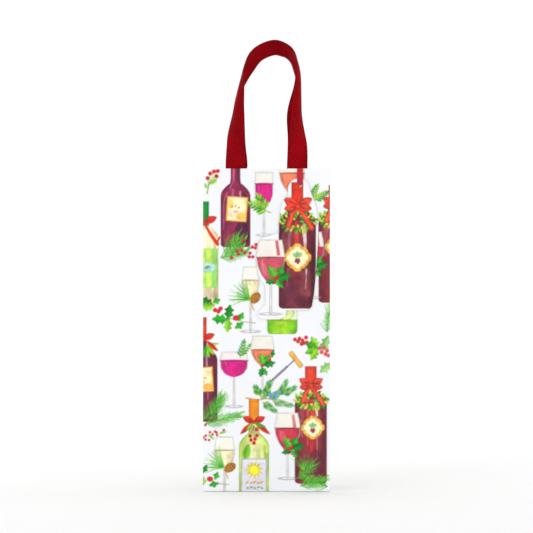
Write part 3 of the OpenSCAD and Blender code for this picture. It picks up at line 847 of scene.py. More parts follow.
def new_mesh(name, points, faces, smooth=40):
    """A mesh from points in mm and arrays of faces, one array for each number of sides; edges over smooth
    degrees stay sharp."""
    mesh = bpy.data.meshes.new(name)
    mesh.vertices.add(len(points))
    mesh.vertices.foreach_set("co", (np.asarray(points) * MM).astype(np.float32).ravel())
    sizes = np.concatenate([np.full(len(f), f.shape[1]) for f in faces])
    mesh.loops.add(int(sizes.sum()))
    mesh.loops.foreach_set("vertex_index", np.concatenate([f.ravel() for f in faces]).astype(np.int32))
    mesh.polygons.add(len(sizes))
    mesh.polygons.foreach_set("loop_start", np.concatenate(((0,), np.cumsum(sizes)[:-1])).astype(np.int32))
    mesh.update(calc_edges=True)
    mesh.validate()
    mesh.shade_smooth()
    mesh.set_sharp_from_angle(angle=math.radians(smooth))
    obj = bpy.data.objects.new(name, mesh)
    bpy.context.scene.collection.objects.link(obj)
    return obj


def paint(obj, colours, name="Print"):
    """Gives each point of a mesh its linear colour."""
    layer = obj.data.color_attributes.new(name=name, type="FLOAT_COLOR", domain="POINT")
    rgba = np.ones((len(colours), 4), np.float32)
    rgba[:, :3] = colours
    layer.data.foreach_set("color", rgba.ravel())


def sheet_piece(name, u, v, body, nodes, stride=4):
    """One panel of the folded sheet over lines u and v, or over grids of both, riding on its body."""
    if np.ndim(u) == 1 and np.ndim(v) == 1:
        u, v = np.meshgrid(u, v)
    u, v = np.broadcast_arrays(u, v)
    paper = bpy.context.scene.gift_bag_paper
    point, n = wall(u, v, paper.corner_radius / MM)
    obj = shell(name, point, point - n * paper.thickness / MM, stride,
                ink_at(printed_area(), np.mod(u, SHEET), v))
    return finish_piece(obj, body, gloss_print(), nodes)


def finish_piece(obj, body, material, nodes=()):
    """Puts the finish on a piece, hides the CAD nodes it stands for, and lets it ride on its body when it
    has one."""
    obj.data.materials.append(material)
    if nodes:
        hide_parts(*nodes)
    if body:
        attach(obj, body)
    return obj


def printed_area():
    """The painted sheet, made the first time it is asked for."""
    if not PAINTED:
        PAINTED.append(printed_sheet())
    return PAINTED[0]


def warp(lines, low, high):
    """Lifts a grid's level lines so that the first lies on the edge low and the last on the edge high, both
    along the columns."""
    t = (lines - lines[0]) / (lines[-1] - lines[0])
    return low[None, :] + t[:, None] * (high - low)[None, :]


def fold_line(u, zone):
    """Height at which the outer paper stops: at the rim, or lower by the fold's radius where the edge is
    turned in."""
    low, high, radius = zone
    return np.where((u > low) & (u < high), HEIGHT - radius, HEIGHT)


def turned_edge(name, zone, body, node):
    """A turned-in top edge. From the wall's outer side it follows half a circle over the rim, then runs
    straight down the inside; the printed side stays outermost."""
    low, high, radius = zone
    depth = HEIGHT - corners(node)[0][2]
    cells = int((high - low) / 3.2) * 4
    half_circle = math.pi * radius
    down = spread((0, half_circle, 8), (half_circle, half_circle + depth - radius, 40))
    u, w = np.meshgrid(spread((low, high, cells)), down)
    paper = bpy.context.scene.gift_bag_paper
    base, n = wall(u, np.full_like(u, HEIGHT - radius), paper.corner_radius / MM)
    n[..., 2] = 0
    phi = np.minimum(w / radius, math.pi)[..., None]
    up = np.array((0, 0, 1.0))
    climb = radius * np.sin(phi) - np.maximum(w - half_circle, 0)[..., None]
    point = base - n * radius * (1 - np.cos(phi)) + up * climb
    side = n * np.cos(phi) + up * np.sin(phi)
    thick = min(paper.thickness / MM, 0.85 * radius)
    obj = shell(name, point, point - side * thick, 4,
                ink_at(printed_area(), np.mod(u, SHEET), HEIGHT - radius + w))
    return finish_piece(obj, body, gloss_print(), (node,))


def tape(name, mid, wide, face, half_w, half_t, count=24, cup=0.0):
    """A band carried along a line. Across it, the half thickness is half_t times the square root of 1 minus
    the sixth power of the place across, and its edges bend away from its face by cup times the square of the
    place across. Its length across stays the same, so it narrows as it bends. The map gives mm across and mm
    along."""
    half_w, cup = (np.broadcast_to(n, (len(mid),)) for n in (half_w, cup))
    chord = half_w * (1 - 0.66 * (cup / half_w) ** 2)
    a = -np.cos(np.linspace(0, math.pi, count + 1))
    b = np.sqrt(np.clip(1 - a**6, 0, 1))
    ring_a = np.concatenate((a, a[-2:0:-1]))
    ring_b = np.concatenate((b, -b[-2:0:-1])) * half_t
    bent = ring_b[None, :] - cup[:, None] * (ring_a[None, :] ** 2 - 0.33)
    sideways = (ring_a[None, :] * chord[:, None])[..., None] * wide[:, None]
    loops = mid[:, None] + sideways + bent[..., None] * face[:, None]
    rows, m = loops.shape[:2]
    grid = np.arange(rows * m).reshape(rows, m)
    ring = np.concatenate((grid, grid[:, :1]), 1)
    faces = quads(ring)
    along = np.concatenate(((0,), np.cumsum(np.linalg.norm(np.diff(mid, axis=0), axis=1))))
    across = np.concatenate((ring_a[: count + 1] + 1, 3 - ring_a[count + 1 :], (4,)))
    mu, mv = np.broadcast_arrays(across[None, :] * half_w[:, None], along[:, None])
    uv = np.stack((mu, mv), -1)
    uv_quads = np.stack((uv[:-1, :-1], uv[:-1, 1:], uv[1:, 1:], uv[1:, :-1]), 2).reshape(-1, 4, 2)
    caps = np.stack((grid[0][::-1], grid[-1]))
    uv_caps = np.stack((uv[0, :-1][::-1], uv[-1, :-1]))
    flat = loops.reshape(-1, 3)
    corner = flat[faces]
    volume = np.einsum("ij,ij->i", corner[:, 0], np.cross(corner[:, 1], corner[:, 2])).sum()
    volume += np.einsum("ij,ij->i", corner[:, 0], np.cross(corner[:, 2], corner[:, 3])).sum()
    if volume < 0:
        faces, caps, uv_quads, uv_caps = (a[:, ::-1] for a in (faces, caps, uv_quads, uv_caps))
    obj = new_mesh(name, flat, [faces, caps], smooth=60)
    layer = obj.data.uv_layers.new(name="Band")
    places = np.concatenate((uv_quads.reshape(-1, 2), uv_caps.reshape(-1, 2)))
    layer.data.foreach_set("uv", places.astype(np.float32).ravel())
    return obj


def flowing(points, cells):
    """A Catmull-Rom curve through rows of numbers: each row is the middle of a cubic shaped by its two
    neighbours."""
    p = np.asarray(points, float)
    p = np.concatenate((2 * p[:1] - p[1:2], p, 2 * p[-1:] - p[-2:-1]))
    t = np.linspace(0, 1, cells, endpoint=False)[None, :, None]
    a, b, c, d = (p[i : len(p) - 3 + i, None] for i in range(4))
    curve = 0.5 * (2 * b + (c - a) * t + (2 * a - 5 * b + 4 * c - d) * t**2 + (3 * b - a - 3 * c + d) * t**3)
    return np.concatenate((curve.reshape(-1, p.shape[1]), p[-2:-1]))


# Places along a handle's middle: mm to the right, mm above the rim, and the band's turn in degrees.
LOOP = (
    (-31, 1.5, 0), (-30.8, 18, 19), (-31, 35, 32), (-29.8, 61, 59), (-27.4, 76, 78), (-24, 89, 98),
    (-18.8, 102.6, 122), (-8.5, 115.1, 131), (7, 121.5, 132.5), (18.8, 118.7, 126), (25.2, 113.6, 116),
    (29.4, 106.4, 104), (31.8, 97, 94), (32.7, 87, 84), (32.4, 71, 66), (31.7, 54, 52), (31.4, 37, 38),
    (31.4, 20, 16), (31, 1.5, 0),
)


def handle(side, stretch):
    """The webbing of one side in one length: up from inside the hem, round the loop and down again. It leans
    outwards by a twelfth of its height, and turns about its own middle as it rises."""
    look = bpy.context.scene.gift_bag_webbing
    deep = ANCHOR_LOW - HEIGHT
    ends = [(31, h, 0) for h in (-4, -14, deep)]
    path = flowing([(-x, h, t) for x, h, t in ends[::-1]] + list(LOOP) + ends, 20)
    x, h, turn = path[:, 0], path[:, 1], np.radians(path[:, 2])
    if side > 0:
        # the right leg hangs further in at mid height, and the left one at its foot
        waist = 3.2 * np.exp(-(((h - 57) / 20) ** 2)) * (x > 0)
        foot = 1.4 * np.exp(-(((h - 6) / 14) ** 2)) * (x < 0) * (h > 0) * rise(h / 6)
        x = x - waist + foot
    above = np.maximum(h, 0)
    tx, tz = np.gradient(x), np.gradient(h)
    size = np.hypot(tx, tz)
    out = np.stack((-tz / size, 0 * x, tx / size), -1)
    forward = np.array((0, side, 0.0))
    mid = np.stack((x, side * (TAPE_MID + above**2 / (above + 3) / 12),
                    HEIGHT + np.where(h > 0, h * stretch, h)), -1)
    t = unit(np.gradient(mid, axis=0))
    face = np.cos(turn)[:, None] * forward + np.sin(turn)[:, None] * out
    wide = unit(np.cross(t, face))
    face = np.cross(wide, t)
    word = "front" if side < 0 else "back"
    cup = look.cup / MM * (rise((h - 12) / 50) - 0.65 * rise((h - 98) / 16))
    obj = tape(f"{word}_webbing", mid, wide, face, look.width / MM / 2, look.thickness / MM / 2, cup=cup)
    finish_piece(obj, None, woven_band(),
                 [f"{word}_{n}" for n in ("handle", "anchor_left", "anchor_right")])
    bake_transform(obj)


def ribbon():
    """The satin ribbon in one length: from behind the hem over the rim, down to the tag, through its hole,
    narrowing there to a gathered cord, and up the front to meet itself."""
    low, high = corners("ribbon_tuck")
    front, back = corners("tag_ribbon")
    x = (low[0] + high[0]) / 2
    hole = HEIGHT - 17
    inside, outside, over = high[1] - 0.125, back[1] - 0.125, high[2] - 0.125
    fore = front[1] + 0.125
    points = [
        (inside, low[2]), (inside, low[2] + 12), (inside, HEIGHT - 1), (inside - 0.12, HEIGHT - 0.1),
        (inside - 0.5, over), (outside + 0.5, over), (outside + 0.06, HEIGHT - 0.1), (outside, HEIGHT - 1.5),
        (outside, HEIGHT - 8), (outside, hole + 4), (outside + 0.02, hole + 1.8),
        (outside - 0.25, hole + 0.9), ((outside + fore) / 2, hole + 0.75), (fore + 0.25, hole + 0.95),
        (fore, hole + 2), (fore, hole + 5), (fore, hole + 9), (fore + 0.75, hole + 13.5),
        (outside - 0.3, hole + 15.2),
    ]
    yz = flowing(points, 10)
    mid = np.stack((np.full(len(yz), x), yz[:, 0], yz[:, 1]), -1)
    t = unit(np.gradient(mid, axis=0))
    wide = np.broadcast_to(np.array((1.0, 0, 0)), mid.shape)
    face = np.cross(wide, t)
    near = np.hypot(mid[:, 1] - (outside + fore) / 2, mid[:, 2] - hole - 0.75)
    half = (high[0] - low[0]) / 2
    obj = tape("satin_ribbon", mid, wide, face, half * (1 - 0.55 * np.exp(-((near / 1.5) ** 4))), 0.12,
               count=16)
    finish_piece(obj, None, satin_weave(), ("ribbon_tuck", "tag_ribbon"))
    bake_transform(obj)


def outline(node):
    """The closed rims of a flat node's front side, in mm: edges that only one of its front triangles has,
    joined end to end."""
    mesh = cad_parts[node].data
    co = np.zeros(len(mesh.vertices) * 3)
    mesh.vertices.foreach_get("co", co)
    co = np.round(co.reshape(-1, 3) / MM, 3)
    front = co[:, 1].min() + 0.01
    mesh.calc_loop_triangles()
    tri = np.zeros(len(mesh.loop_triangles) * 3, np.int32)
    mesh.loop_triangles.foreach_get("vertices", tri)
    tri = tri.reshape(-1, 3)
    tri = tri[(co[tri, 1] < front).all(1)]
    flat, same = np.unique(co[:, (0, 2)], axis=0, return_inverse=True)
    tri = same.ravel()[tri]
    edges = np.concatenate((tri[:, (0, 1)], tri[:, (1, 2)], tri[:, (2, 0)]))
    known = {tuple(e) for e in edges.tolist()}
    following = {a: b for a, b in edges.tolist() if (b, a) not in known}
    loops = []
    while following:
        first, here = following.popitem()
        chain = [first]
        while here != first:
            chain.append(here)
            here = following.pop(here)
        loops.append(flat[chain])
    return sorted(loops, key=lambda p: -np.ptp(p[:, 1]))


def evenly(loop, step):
    """A closed line cut into even steps; sharp corners are kept, since every old point stays."""
    after = np.roll(loop, -1, axis=0)
    cuts = np.maximum(np.ceil(np.linalg.norm(after - loop, axis=1) / step).astype(int), 1)
    return np.concatenate([a + (b - a) * np.linspace(0, 1, n, endpoint=False)[:, None]
                           for a, b, n in zip(loop, after, cuts)])


def fill(loops, extra):
    """Triangles between closed rims, the first one outside, over the rims' points and the extra ones
    inside."""
    points = np.concatenate(loops + [extra])
    edges, start = [], 0
    for loop in loops:
        n = len(loop)
        edges += [(start + i, start + (i + 1) % n) for i in range(n)]
        start += n
    out = delaunay_2d_cdt([Vector(p) for p in points], edges, [], 0, 1e-6)
    pts = np.array([tuple(p) for p in out[0]])
    tri = np.array(out[2])
    middle = pts[tri].mean(1)
    keep = inside_of(middle, loops[0])
    for hole in loops[1:]:
        keep &= ~inside_of(middle, hole)
    return pts, tri[keep]


def inside_of(points, loop):
    """Whether points lie in a closed line: an upright ray from each crosses it an odd number of times."""
    a, b = loop, np.roll(loop, -1, axis=0)
    x, y = points[:, :1], points[:, 1:]
    span = (a[None, :, 0] > x) != (b[None, :, 0] > x)
    width = np.where(b[:, 0] == a[:, 0], 1e-9, b[:, 0] - a[:, 0])
    at = a[None, :, 1] + (x - a[None, :, 0]) / width * (b[:, 1] - a[:, 1])
    return (span & (y < at)).sum(1) % 2 == 1


def tag_print(c):
    """The tag's picture: a claret bottle with a bow, a wreath and a scalloped label, and a glass with
    holly."""
    bottle(c, 30.8, 183, 309, 18.2, 5.3, 268, (0.33, 0.08, 0.15), (0.54, 0.19, 0.24), cap_from=279,
           cap_colour=(0.92, 0.20, 0.10), streak=None)
    for x, y, rx, ry, tone, cover in (
        (24, 200, 8.5, 13, (0.40, 0.16, 0.27), 0.55), (39, 208, 7, 16, (0.66, 0.34, 0.36), 0.40),
        (37, 190, 9, 6, (0.28, 0.07, 0.18), 0.50), (19, 248, 5, 13, (0.62, 0.33, 0.36), 0.50),
        (30, 211, 6, 9, (0.46, 0.13, 0.20), 0.50), (43, 250, 3.5, 12, (0.34, 0.07, 0.15), 0.55),
    ):
        ellipse(c, x, y, rx, ry, tone, alpha=cover, rim=0, wash=0.35, size=5)
    for points, wide, end, tone, cover in (
        (((24.4, 264), (23, 252), (22.6, 244)), 1.6, 1.2, (0.80, 0.50, 0.54), 0.45),
        (((30.4, 268), (30.0, 246)), 2.3, 2.0, (0.90, 0.24, 0.18), 0.92),
        (((37.2, 265), (38.4, 252), (38.8, 243)), 2.3, 1.3, (0.96, 0.87, 0.83), 0.80),
        (((39.8, 222), (39.6, 214), (39.0, 203)), 0.9, 0.3, (0.95, 0.85, 0.82), 0.75),
        (((21.5, 222), (20.5, 206)), 1.0, 0.5, (0.72, 0.42, 0.46), 0.50),
        (((45.6, 254), (46.2, 232), (44.8, 200)), 1.3, 0.9, (0.27, 0.05, 0.13), 0.60),
    ):
        stroke(c, points, wide, tone, end=end, alpha=cover, rim=0, wash=0.3, size=4)
    wreath(c, 31.3, 270, 17.5, 9)
    bow(c, 31.4, 285, 19, colour=(0.97, 0.27, 0.17), dark=(0.80, 0.10, 0.08), four=True)
    round_label(c, 31, 234, 13)
    glass(c, 4.2, 251.5, 177.5, 43.5, 14, "wine", 0.60, (0.86, 0.34, 0.42), 11.5, stem=0.8,
          tint=(0.97, 0.94, 0.91))
    body(c, 12.2, 236, [0, 15], [1.6, 1.4], (0.80, 0.28, 0.32), angle=8, alpha=0.8)
    ellipse(c, -2.5, 222, 3, 7, (0.93, 0.52, 0.55), angle=14, alpha=0.6, rim=0)
    holly(c, 9.5, 212, 15, (62, 18, 118), dots=((-2, 0.5), (1, 2.4), (-1.5, -2.6)))
    holly(c, 9.5, 211, 10, (-45, 192))


def gift_tag():
    """The die-cut tag: its outline filled with points a step apart on the printed side, the same rims on the
    back, and a straight edge between."""
    loops = outline("gift_tag")
    low, high = corners("gift_tag")
    rims = [evenly(loop, 1.0) for loop in loops]
    step = 0.62
    gx, gz = np.meshgrid(np.arange(low[0], high[0], step), np.arange(low[2], high[2], step))
    extra = np.stack((gx.ravel(), gz.ravel()), -1)
    grown = inside_of(extra, rims[0])
    for loop in rims:
        grown &= np.linalg.norm(extra[:, None] - loop[None], axis=2).min(1) > step
    grown &= ~inside_of(extra, rims[1])
    front, tri = fill(rims, extra[grown])
    back, tri_back = fill(rims, np.zeros((0, 2)))
    count = sum(len(r) for r in rims)

    def stand(p, y):
        return np.stack((p[:, 0], np.full(len(p), y), p[:, 1]), -1)

    def facing(points, t, want):
        a, b, c = points[t[:, 0]], points[t[:, 1]], points[t[:, 2]]
        turn = np.cross(b - a, c - a)[:, 1]
        return np.where((np.sign(turn) == want)[:, None], t, t[:, ::-1])

    pf, pb = stand(front, low[1]), stand(back, high[1])
    tri, tri_back = facing(pf, tri, -1), facing(pb, tri_back, 1) + len(pf)
    edges = np.concatenate((tri[:, (0, 1)], tri[:, (1, 2)], tri[:, (2, 0)]))
    code = edges[:, 0] * len(pf) + edges[:, 1]
    lone = edges[~np.isin(code, edges[:, 1] * len(pf) + edges[:, 0])]
    edge = np.stack((lone[:, 1], lone[:, 0], lone[:, 0] + len(pf), lone[:, 1] + len(pf)), -1)
    if lone.max() >= count:
        raise RuntimeError("the tag's rim has points that its back lacks")
    obj = new_mesh("card_tag", np.concatenate((pf, pb)), [np.concatenate((tri, tri_back)), edge])
    c = Canvas(np.arange(low[0] - 1, high[0] + 1, CELL), np.arange(low[2] - 1, high[2] + 1, CELL))
    c.rgb[:] = (0.965, 0.965, 0.975)
    tag_print(c)
    # Painted shade: the printed face darkens by up to 18 % within about a mm of the cut edge, for the card
    # edge's grey line.
    near = np.full(len(front), 9.0)
    for loop in rims:
        near = np.minimum(near, np.linalg.norm(front[:, None] - loop[None], axis=2).min(1))
    ink = ink_at(c, front[:, 0], front[:, 1]) * (1 - 0.18 * np.exp(-((near / 0.7) ** 2)))[:, None]
    paint(obj, np.concatenate((ink, np.broadcast_to(linear((0.95, 0.95, 0.96)), (len(back), 3)))))
    finish_piece(obj, "hang_tag", printed_card(), ("gift_tag",))


# ---------------------------------------------------------------- finishes


class Finish:
    """A material being made: its nodes, and a shader whose plain sockets are set by name."""

    def __init__(self, name, **sockets):
        self.material = bpy.data.materials.new(name)
        self.material.use_nodes = True
        self.tree = self.material.node_tree
        self.shader = self.tree.nodes["Principled BSDF"]
        for key, value in sockets.items():
            self.shader.inputs[key.replace("_", " ")].default_value = value

    def add(self, kind, inputs, **settings):
        """Adds a node, sets or joins its inputs, and gives its first output."""
        node = self.tree.nodes.new("ShaderNode" + kind)
        for key, value in settings.items():
            setattr(node, key, value)
        for key, value in inputs.items():
            if isinstance(value, bpy.types.NodeSocket):
                self.tree.links.new(value, node.inputs[key])
            else:
                node.inputs[key].default_value = value
        return node.outputs[0]

    def math(self, operation, a, b=0.0):
        """One step of arithmetic on two outputs or numbers."""
        return self.add("Math", {0: a, 1: b}, operation=operation)

    def noise(self, where, scale, detail=3.0, rough=0.55):
        """Cloudy noise from 0 to 1 at a scale in waves a metre, or a unit of the map."""
        return self.add("TexNoise", {"Vector": where, "Scale": scale, "Detail": detail, "Roughness": rough})

    def ramp(self, value, *stops):
        """Colours or greys at places from 0 to 1."""
        node = self.tree.nodes.new("ShaderNodeValToRGB")
        points = node.color_ramp.elements
        while len(points) < len(stops):
            points.new(0.5)
        for point, (place, colour) in zip(points, stops):
            point.position = place
            point.color = (*colour, 1) if np.ndim(colour) else (colour, colour, colour, 1)
        self.tree.links.new(value, node.inputs[0])
        return node.outputs[0]

    def mix(self, share, a, b, way="MIX"):
        """A colour between a and b, or their product."""
        node = self.tree.nodes.new("ShaderNodeMix")
        node.data_type, node.blend_type = "RGBA", way
        for index, value in ((0, share), (6, a), (7, b)):
            if isinstance(value, bpy.types.NodeSocket):
                self.tree.links.new(value, node.inputs[index])
            else:
                node.inputs[index].default_value = (*value, 1) if np.ndim(value) else value
        return node.outputs[2]

    def wear(self, **joins):
        """Joins outputs to the shader's sockets."""
        for key, value in joins.items():
            self.tree.links.new(value, self.shader.inputs[key.replace("_", " ")])

    def relief(self, height, strength, distance):
        """Small hills and hollows, with their full height in metres as the distance."""
        self.wear(Normal=self.add("Bump", {"Height": height, "Strength": strength, "Distance": distance}))

    def place(self):
        """The piece's own Object coordinates."""
        return self.tree.nodes.new("ShaderNodeTexCoord").outputs["Object"]

    def drawn_out(self, across, along, slow_across, slow_along):
        """A band's place with its two directions scaled apart, for noise that runs along the yarns."""
        return self.add("CombineXYZ", {0: self.math("MULTIPLY", across, slow_across),
                                       1: self.math("MULTIPLY", along, slow_along)})

    def band(self):
        """Mm across and mm along a band, from its own map."""
        band = self.tree.nodes.new("ShaderNodeUVMap")
        band.uv_map = "Band"
        split = self.tree.nodes.new("ShaderNodeSeparateXYZ")
        self.tree.links.new(band.outputs[0], split.inputs[0])
        return split.outputs[0], split.outputs[1]


def once(make):
    """Makes a finish the first time it is asked for and gives the same one after that."""
    def kept():
        return bpy.data.materials.get(make.__name__) or make()
    return kept


@once
def gloss_print():
    """Glossy printed paper: the sheet's own colours, faint cloudiness, fibres a few tenths of a mm high, a
    thin varnish."""
    f = Finish("gloss_print", Coat_Weight=0.12, Coat_Roughness=0.14, Specular_IOR_Level=0.28)
    where = f.place()
    ink = f.add("VertexColor", {}, layer_name="Print")
    veil = f.ramp(f.noise(where, 26.0, 4), (0.3, 0.965), (0.7, 1.0))
    f.wear(Base_Color=f.mix(1.0, ink, veil, "MULTIPLY"))
    f.wear(Roughness=f.ramp(f.noise(where, 60.0, 2), (0.3, 0.30), (0.7, 0.40)))
    f.relief(f.noise(where, 900.0, 5, 0.65), 0.10, 0.0002)
    return f.material


@once
def uncoated_paper():
    """The sheet's unprinted side: matt, with short fibres."""
    f = Finish("uncoated_paper", Specular_IOR_Level=0.35)
    where = f.place()
    fleck = f.noise(where, 700.0, 5, 0.7)
    f.wear(Base_Color=f.ramp(fleck, (0.3, (0.80, 0.80, 0.79)), (0.7, (0.88, 0.88, 0.88))))
    f.wear(Roughness=f.ramp(f.noise(where, 90.0), (0.3, 0.62), (0.7, 0.78)))
    f.relief(fleck, 0.25, 0.0002)
    return f.material


@once
def pulp_card():
    """Recycled card: grey pulp with darker and lighter flecks."""
    f = Finish("pulp_card", Specular_IOR_Level=0.25)
    where = f.place()
    pulp = f.noise(where, 240.0, 6, 0.7)
    fleck = f.add("TexVoronoi", {"Vector": where, "Scale": 620.0})
    base = f.ramp(pulp, (0.3, (0.30, 0.285, 0.26)), (0.7, (0.43, 0.415, 0.385)))
    spots = f.ramp(fleck, (0.06, 0.55), (0.16, 1.0))
    f.wear(Base_Color=f.mix(1.0, base, spots, "MULTIPLY"))
    f.wear(Roughness=f.ramp(pulp, (0.3, 0.78), (0.7, 0.92)))
    f.relief(pulp, 0.45, 0.0003)
    return f.material


@once
def woven_band():
    """Woven webbing: rows of weft ribs across, offset by half a stitch in each second warp column, a tight
    selvedge at each edge, the odd duller yarn, and broad duller patches along the band. The ribs' height is
    the product of a sine along and a sine across. The colour also follows the ribs' height: painted shade
    makes it darker in the hollows between the yarns."""
    look = bpy.context.scene.gift_bag_webbing
    f = Finish("woven_band", Specular_IOR_Level=0.05)
    across, along = f.band()
    full = look.width / MM
    pitch = look.rib / MM
    warp_turn = f.math("MULTIPLY", across, 2 * math.pi / (1.15 * pitch))
    weft_turn = f.math("MULTIPLY", along, 2 * math.pi / pitch)
    warp_wave = f.math("SINE", warp_turn)
    stagger = f.math("MULTIPLY", f.math("SIGN", f.math("SINE", f.math("MULTIPLY", warp_turn, 0.5))),
                     math.pi / 2)
    weft_wave = f.math("SINE", f.math("ADD", weft_turn, stagger))
    crossing = f.math("MULTIPLY", f.math("ADD", f.math("MULTIPLY", weft_wave, warp_wave), 1.0), 0.3)
    stitch = f.math("ADD", crossing, f.math("MULTIPLY", f.math("ADD", weft_wave, 1.0), 0.2))
    lane = f.math("PINGPONG", across, full / 2)
    selvedge = f.math("LESS_THAN", lane, 0.07 * full)
    ridge = f.math("MULTIPLY", selvedge, 0.35)
    height = f.math("ADD", stitch, ridge)
    yarn = f.noise(f.drawn_out(across, along, 0.9, 0.05), 1.6, 3)
    # Painted shade: the colour runs from the between-yarns colour in the hollows up to the yarn colour on the
    # ribs.
    deep, bright = tuple(look.shade), tuple(look.colour)
    colour = f.mix(f.ramp(stitch, (0.16, 0.0), (0.66, 1.0)), deep, bright)
    colour = f.mix(1.0, colour, f.ramp(yarn, (0.3, 0.78), (0.7, 1.0)), "MULTIPLY")
    duller_patches = f.noise(f.drawn_out(across, along, 0.04, 0.028), 1.0, 2)
    colour = f.mix(1.0, colour, f.ramp(duller_patches, (0.35, 0.66), (0.62, 1.0)), "MULTIPLY")
    f.wear(Base_Color=colour)
    f.wear(Roughness=f.ramp(stitch, (0.1, 0.72), (0.9, 0.48)))
    f.relief(height, 0.9, 0.0009)
    return f.material


@once
def satin_weave():
    """Red satin: fine weft lines across the band, long bright floats along it, rougher across than along."""
    f = Finish("satin_weave", Sheen_Weight=0.1, Sheen_Roughness=0.3, Sheen_Tint=(1, 0.2, 0.2, 1),
               Anisotropic=0.6, Specular_IOR_Level=0.4, Roughness=0.34)
    across, along = f.band()
    lines = f.math("SINE", f.math("MULTIPLY", along, 2 * math.pi / 0.35))
    floats = f.noise(f.drawn_out(across, along, 2.2, 0.16), 2.0, 3)
    f.wear(Base_Color=f.ramp(floats, (0.3, (0.36, 0.0, 0.012)), (0.7, (0.66, 0.004, 0.03))))
    f.relief(f.math("ADD", f.math("MULTIPLY", lines, 0.4), floats), 0.35, 0.00012)
    return f.material


@once
def printed_card():
    """Printed card: its own colours, smooth with a slight mottle and a soft shine."""
    f = Finish("printed_card", Coat_Weight=0.08, Coat_Roughness=0.2, Specular_IOR_Level=0.28)
    where = f.place()
    ink = f.add("VertexColor", {}, layer_name="Print")
    f.wear(Base_Color=f.mix(1.0, ink, f.ramp(f.noise(where, 45.0), (0.3, 0.96), (0.7, 1.0)), "MULTIPLY"))
    f.wear(Roughness=f.ramp(f.noise(where, 120.0), (0.3, 0.38), (0.7, 0.48)))
    f.relief(f.noise(where, 1100.0, 4), 0.10, 0.0002)
    return f.material


@once
def seamless_paper():
    """Pale seamless paper."""
    f = Finish("seamless_paper", Specular_IOR_Level=0.1)
    f.wear(Base_Color=f.ramp(f.noise(f.place(), 3.0), (0.3, (0.88, 0.88, 0.88)), (0.7, (0.90, 0.90, 0.90))))
    f.wear(Roughness=f.ramp(f.noise(f.place(), 30.0), (0.3, 0.85), (0.7, 0.95)))
    return f.material


# ---------------------------------------------------------------- what a user may change


def length(name, description, default, least, most):
    """A length that a user may change."""
    return FloatProperty(
        name=name, description=description, default=default, min=least, max=most,
        unit="LENGTH", subtype="DISTANCE",
    )


class GiftBagPaper(bpy.types.PropertyGroup):
    """The folded sheet."""

    corner_radius: length("Corner radius", "Radius of the folded corners and the foot's edge", 0.0012, 0.0004,
                          0.003)
    thickness: length("Thickness", "Thickness of the paper", 0.0003, 0.0001, 0.0005)
    swell: length("Swell", "How far the big panels swell at their fullest", 0.0006, 0.0, 0.002)
    gusset_draw: length("Gusset draw", "How far a gusset's middle crease is drawn in", 0.0016, 0.0, 0.006)


class GiftBagWebbing(bpy.types.PropertyGroup):
    """The handles' webbing."""

    width: length("Width", "Width of the webbing", ANCHOR_WIDTH * MM, 0.01, 0.03)
    thickness: length("Thickness", "Thickness of the webbing", (ANCHOR_Y[1] - ANCHOR_Y[0]) * MM, 0.0005,
                      0.002)
    cup: length("Cup", "How far the webbing's edges bend back where it twists", 0.0042, 0.0, 0.006)
    rib: length("Rib pitch", "Distance from one weft rib to the next", 0.0021, 0.0005, 0.004)
    colour: FloatVectorProperty(name="Yarn", description="Colour of the raised yarns", size=3,
                                subtype="COLOR", min=0, max=1, default=(0.56, 0.0, 0.006))
    # The between-yarns colour is painted shade for the weave's hollows.
    shade: FloatVectorProperty(name="Between yarns", description="Colour of the hollows between yarns",
                               size=3, subtype="COLOR", min=0, max=1, default=(0.06, 0.0, 0.002))


class GiftBagStudio(bpy.types.PropertyGroup):
    """Camera and light."""

    distance: length("Camera distance", "From the camera to the front panel", 2.961, 1.0, 8.0)
    aim: length("Camera height", "Height of the level camera", 0.225, 0.0, 1.0)
    lens: FloatProperty(name="Lens", description="Focal length in mm for a 36 mm wide picture", default=200.0,
                        min=35.0, max=400.0)
    key: FloatProperty(name="Key light", description="Power of the large light at the upper left",
                       default=11.0, min=0.0, max=200.0, unit="POWER")
    fill: FloatProperty(name="Fill light", description="Power of the light at the right", default=4.0,
                        min=0.0, max=200.0, unit="POWER")
    sky: FloatProperty(name="Room light", description="Strength of the even light from all round",
                       default=0.93, min=0.0, max=3.0)


# ---------------------------------------------------------------- operators


